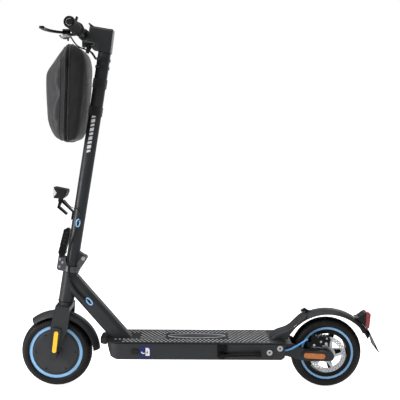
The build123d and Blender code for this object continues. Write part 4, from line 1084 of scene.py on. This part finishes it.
def make_grip_ends():
    """A plug in each grip's end, with a light arc on it that is a painted highlight."""
    plug_in, highlight_in = 0.0040, 0.0017
    ends = []
    painted_highlights = []
    for side in (-1, 1):
        face = BAR + SIDE * side * (GRIP_OUTER_END - plug_in)
        ends.append(disc(face, (0, side, 0), 0.0113, 0.0022))
        # a light arc on the plug's face: a painted highlight
        middle = BAR + SIDE * side * (GRIP_OUTER_END - highlight_in)
        turns = [radians(60 + 240 * k / 30) for k in range(31)]
        path = [middle + Vector((cos(turn), 0, sin(turn))) * 0.0092 for turn in turns]
        painted_highlights.append(tube(path, 0.0008, 8))
    join_solids("grip_end_plugs", ends, "black_plastic", "stem")
    join_solids("grip_end_painted_highlights", painted_highlights, "grey_plastic", "stem", BADGE_RIM_AND_PAINTED_HIGHLIGHT, smooth=True)


def make_bell():
    """The bell's metal dome, upside down under its clamp."""
    radius = 0.017
    centre = beside_bar(-37, -102, -15.5)
    cap = dome(centre, (radius, 0, 0), (0, radius, 0), (0, 0, -0.0105), 8, 32)
    join_solids("bell_dome", [cap], "steel", "stem", BELL_LOOK, smooth=True)


def make_latch_details():
    """Ribs along the front edge of the latch lever, and a row of studs on its left side."""
    half = 10.4
    ribs = []
    for k in range(11):
        low = 326 + 4.6 * k
        high = low + 2.4
        lean = -43 + (low - 319) / 11
        corners = ((lean - 1.3, low), (lean + 1.5, low), (lean + 1.5, high), (lean - 1.3, high))
        ribs.append(slab([steer(back, -half, height) for back, height in corners], SIDE * 2 * half / 1000))
    made = join_solids("latch_ribs", ribs, "black_metal", "latch_lever")
    add_bevel(made, 0.0005)
    studs = []
    for k in range(4):
        centre = steer(-31.5 + 1.2 * k, -11.0, 334 + 11 * k)
        studs.append(disc(centre, (0, -1, 0), 0.0036, 0.0009, 20))
    join_solids("latch_studs", studs, "black_plastic", "latch_lever")


def make_head_seals():
    """Dark seals at both ends of the head tube."""
    radius = 23.9
    for name, height in (("head_seal_top", 249.4), ("head_seal_bottom", 157.9)):
        path = [steer(radius * cos(turn), radius * sin(turn), height) for turn in round_points(64)]
        piece(name, *tube(path, 0.0011, 8, closed=True), "black_plastic", "steering")


def make_base_screws():
    """Three screws on each side of the folding base."""
    half = 17.6
    screws = []
    for side in (-1, 1):
        for back, height in ((-33, 262), (-35, 284), (-26, 276)):
            screws.append(disc(steer(back, side * half, height), (0, side, 0), 0.0036, 0.0016, 20))
    join_solids("base_screws", screws, "steel", "steering")


CALIPER_FACE = Vector((CALIPER_X, -0.0445, CALIPER_Z))


def on_caliper(back, out, up):
    """A point behind, out of and above the middle of the caliper's outer face, in millimetres."""
    return CALIPER_FACE + Vector((back, -out, up)) / 1000


def make_caliper_details():
    """Bolts and a spring on the caliper's outer face, and ribs on its top."""
    bolts = [
        disc(on_caliper(*place), (0, -1, 0), radius, thickness, sides)
        for place, radius, thickness, sides in (
            ((20, 0, -6), 0.0052, 0.003, 6),
            ((-16, 0, -10), 0.0045, 0.003, 6),
            ((22, 0, 10), 0.0030, 0.002, 18),
            ((4, 3.5, 1), 0.0040, 0.0022, 6),
            ((-5, 0, 13.5), 0.0024, 0.002, 18),
        )
    ]
    join_solids("caliper_bolts", bolts, "steel", "frame")
    steps, coil_radius, turn_per_step = 90, 2.6, 0.7
    coil = [
        on_caliper(
            8 + 18 * k / steps,
            4 - coil_radius * cos(k * turn_per_step),
            -12 + coil_radius * sin(k * turn_per_step),
        )
        for k in range(steps + 1)
    ]
    piece("caliper_spring", *tube(coil, 0.0006, 8), "steel", "frame")
    ribs = []
    for k in range(5):
        back = -20 + 9 * k
        corners = ((back, 16.5), (back + 4, 16.5), (back + 4, 19.5), (back, 19.5))
        ribs.append(slab([on_caliper(x, -1, z) for x, z in corners], (0, 0.014, 0)))
    made = join_solids("caliper_ribs", ribs, "steel", "frame")
    add_bevel(made, 0.0004)


def make_fender_screws():
    """Two screws on the left side of the rear mudguard."""
    centre = Vector((REAR_X + 0.0004, -0.0215, AXLE_Z - 0.0135))
    reach = 0.142
    screws = []
    for angle in (60, 75):
        out = Vector((cos(radians(angle)), 0, sin(radians(angle))))
        screws.append(disc(centre + out * reach, (0, -1, 0.3), 0.0026, 0.0012, 18))
    join_solids("fender_screws", screws, "black_metal", "frame")


make_camera()
make_stage()
paint_cad_nodes()
make_cords()
make_tyre("front_tyre_tread", "front_tyre", "front_wheel", FRONT_X)
make_tyre("rear_tyre_tread", "rear_tyre", "rear_wheel", REAR_X)
make_bag()
make_studs()
make_badge()
make_label()
make_stripes()
make_grommets()
make_grips()
make_grip_ends()
make_bell()
make_latch_details()
make_head_seals()
make_base_screws()
make_caliper_details()
make_fender_screws()
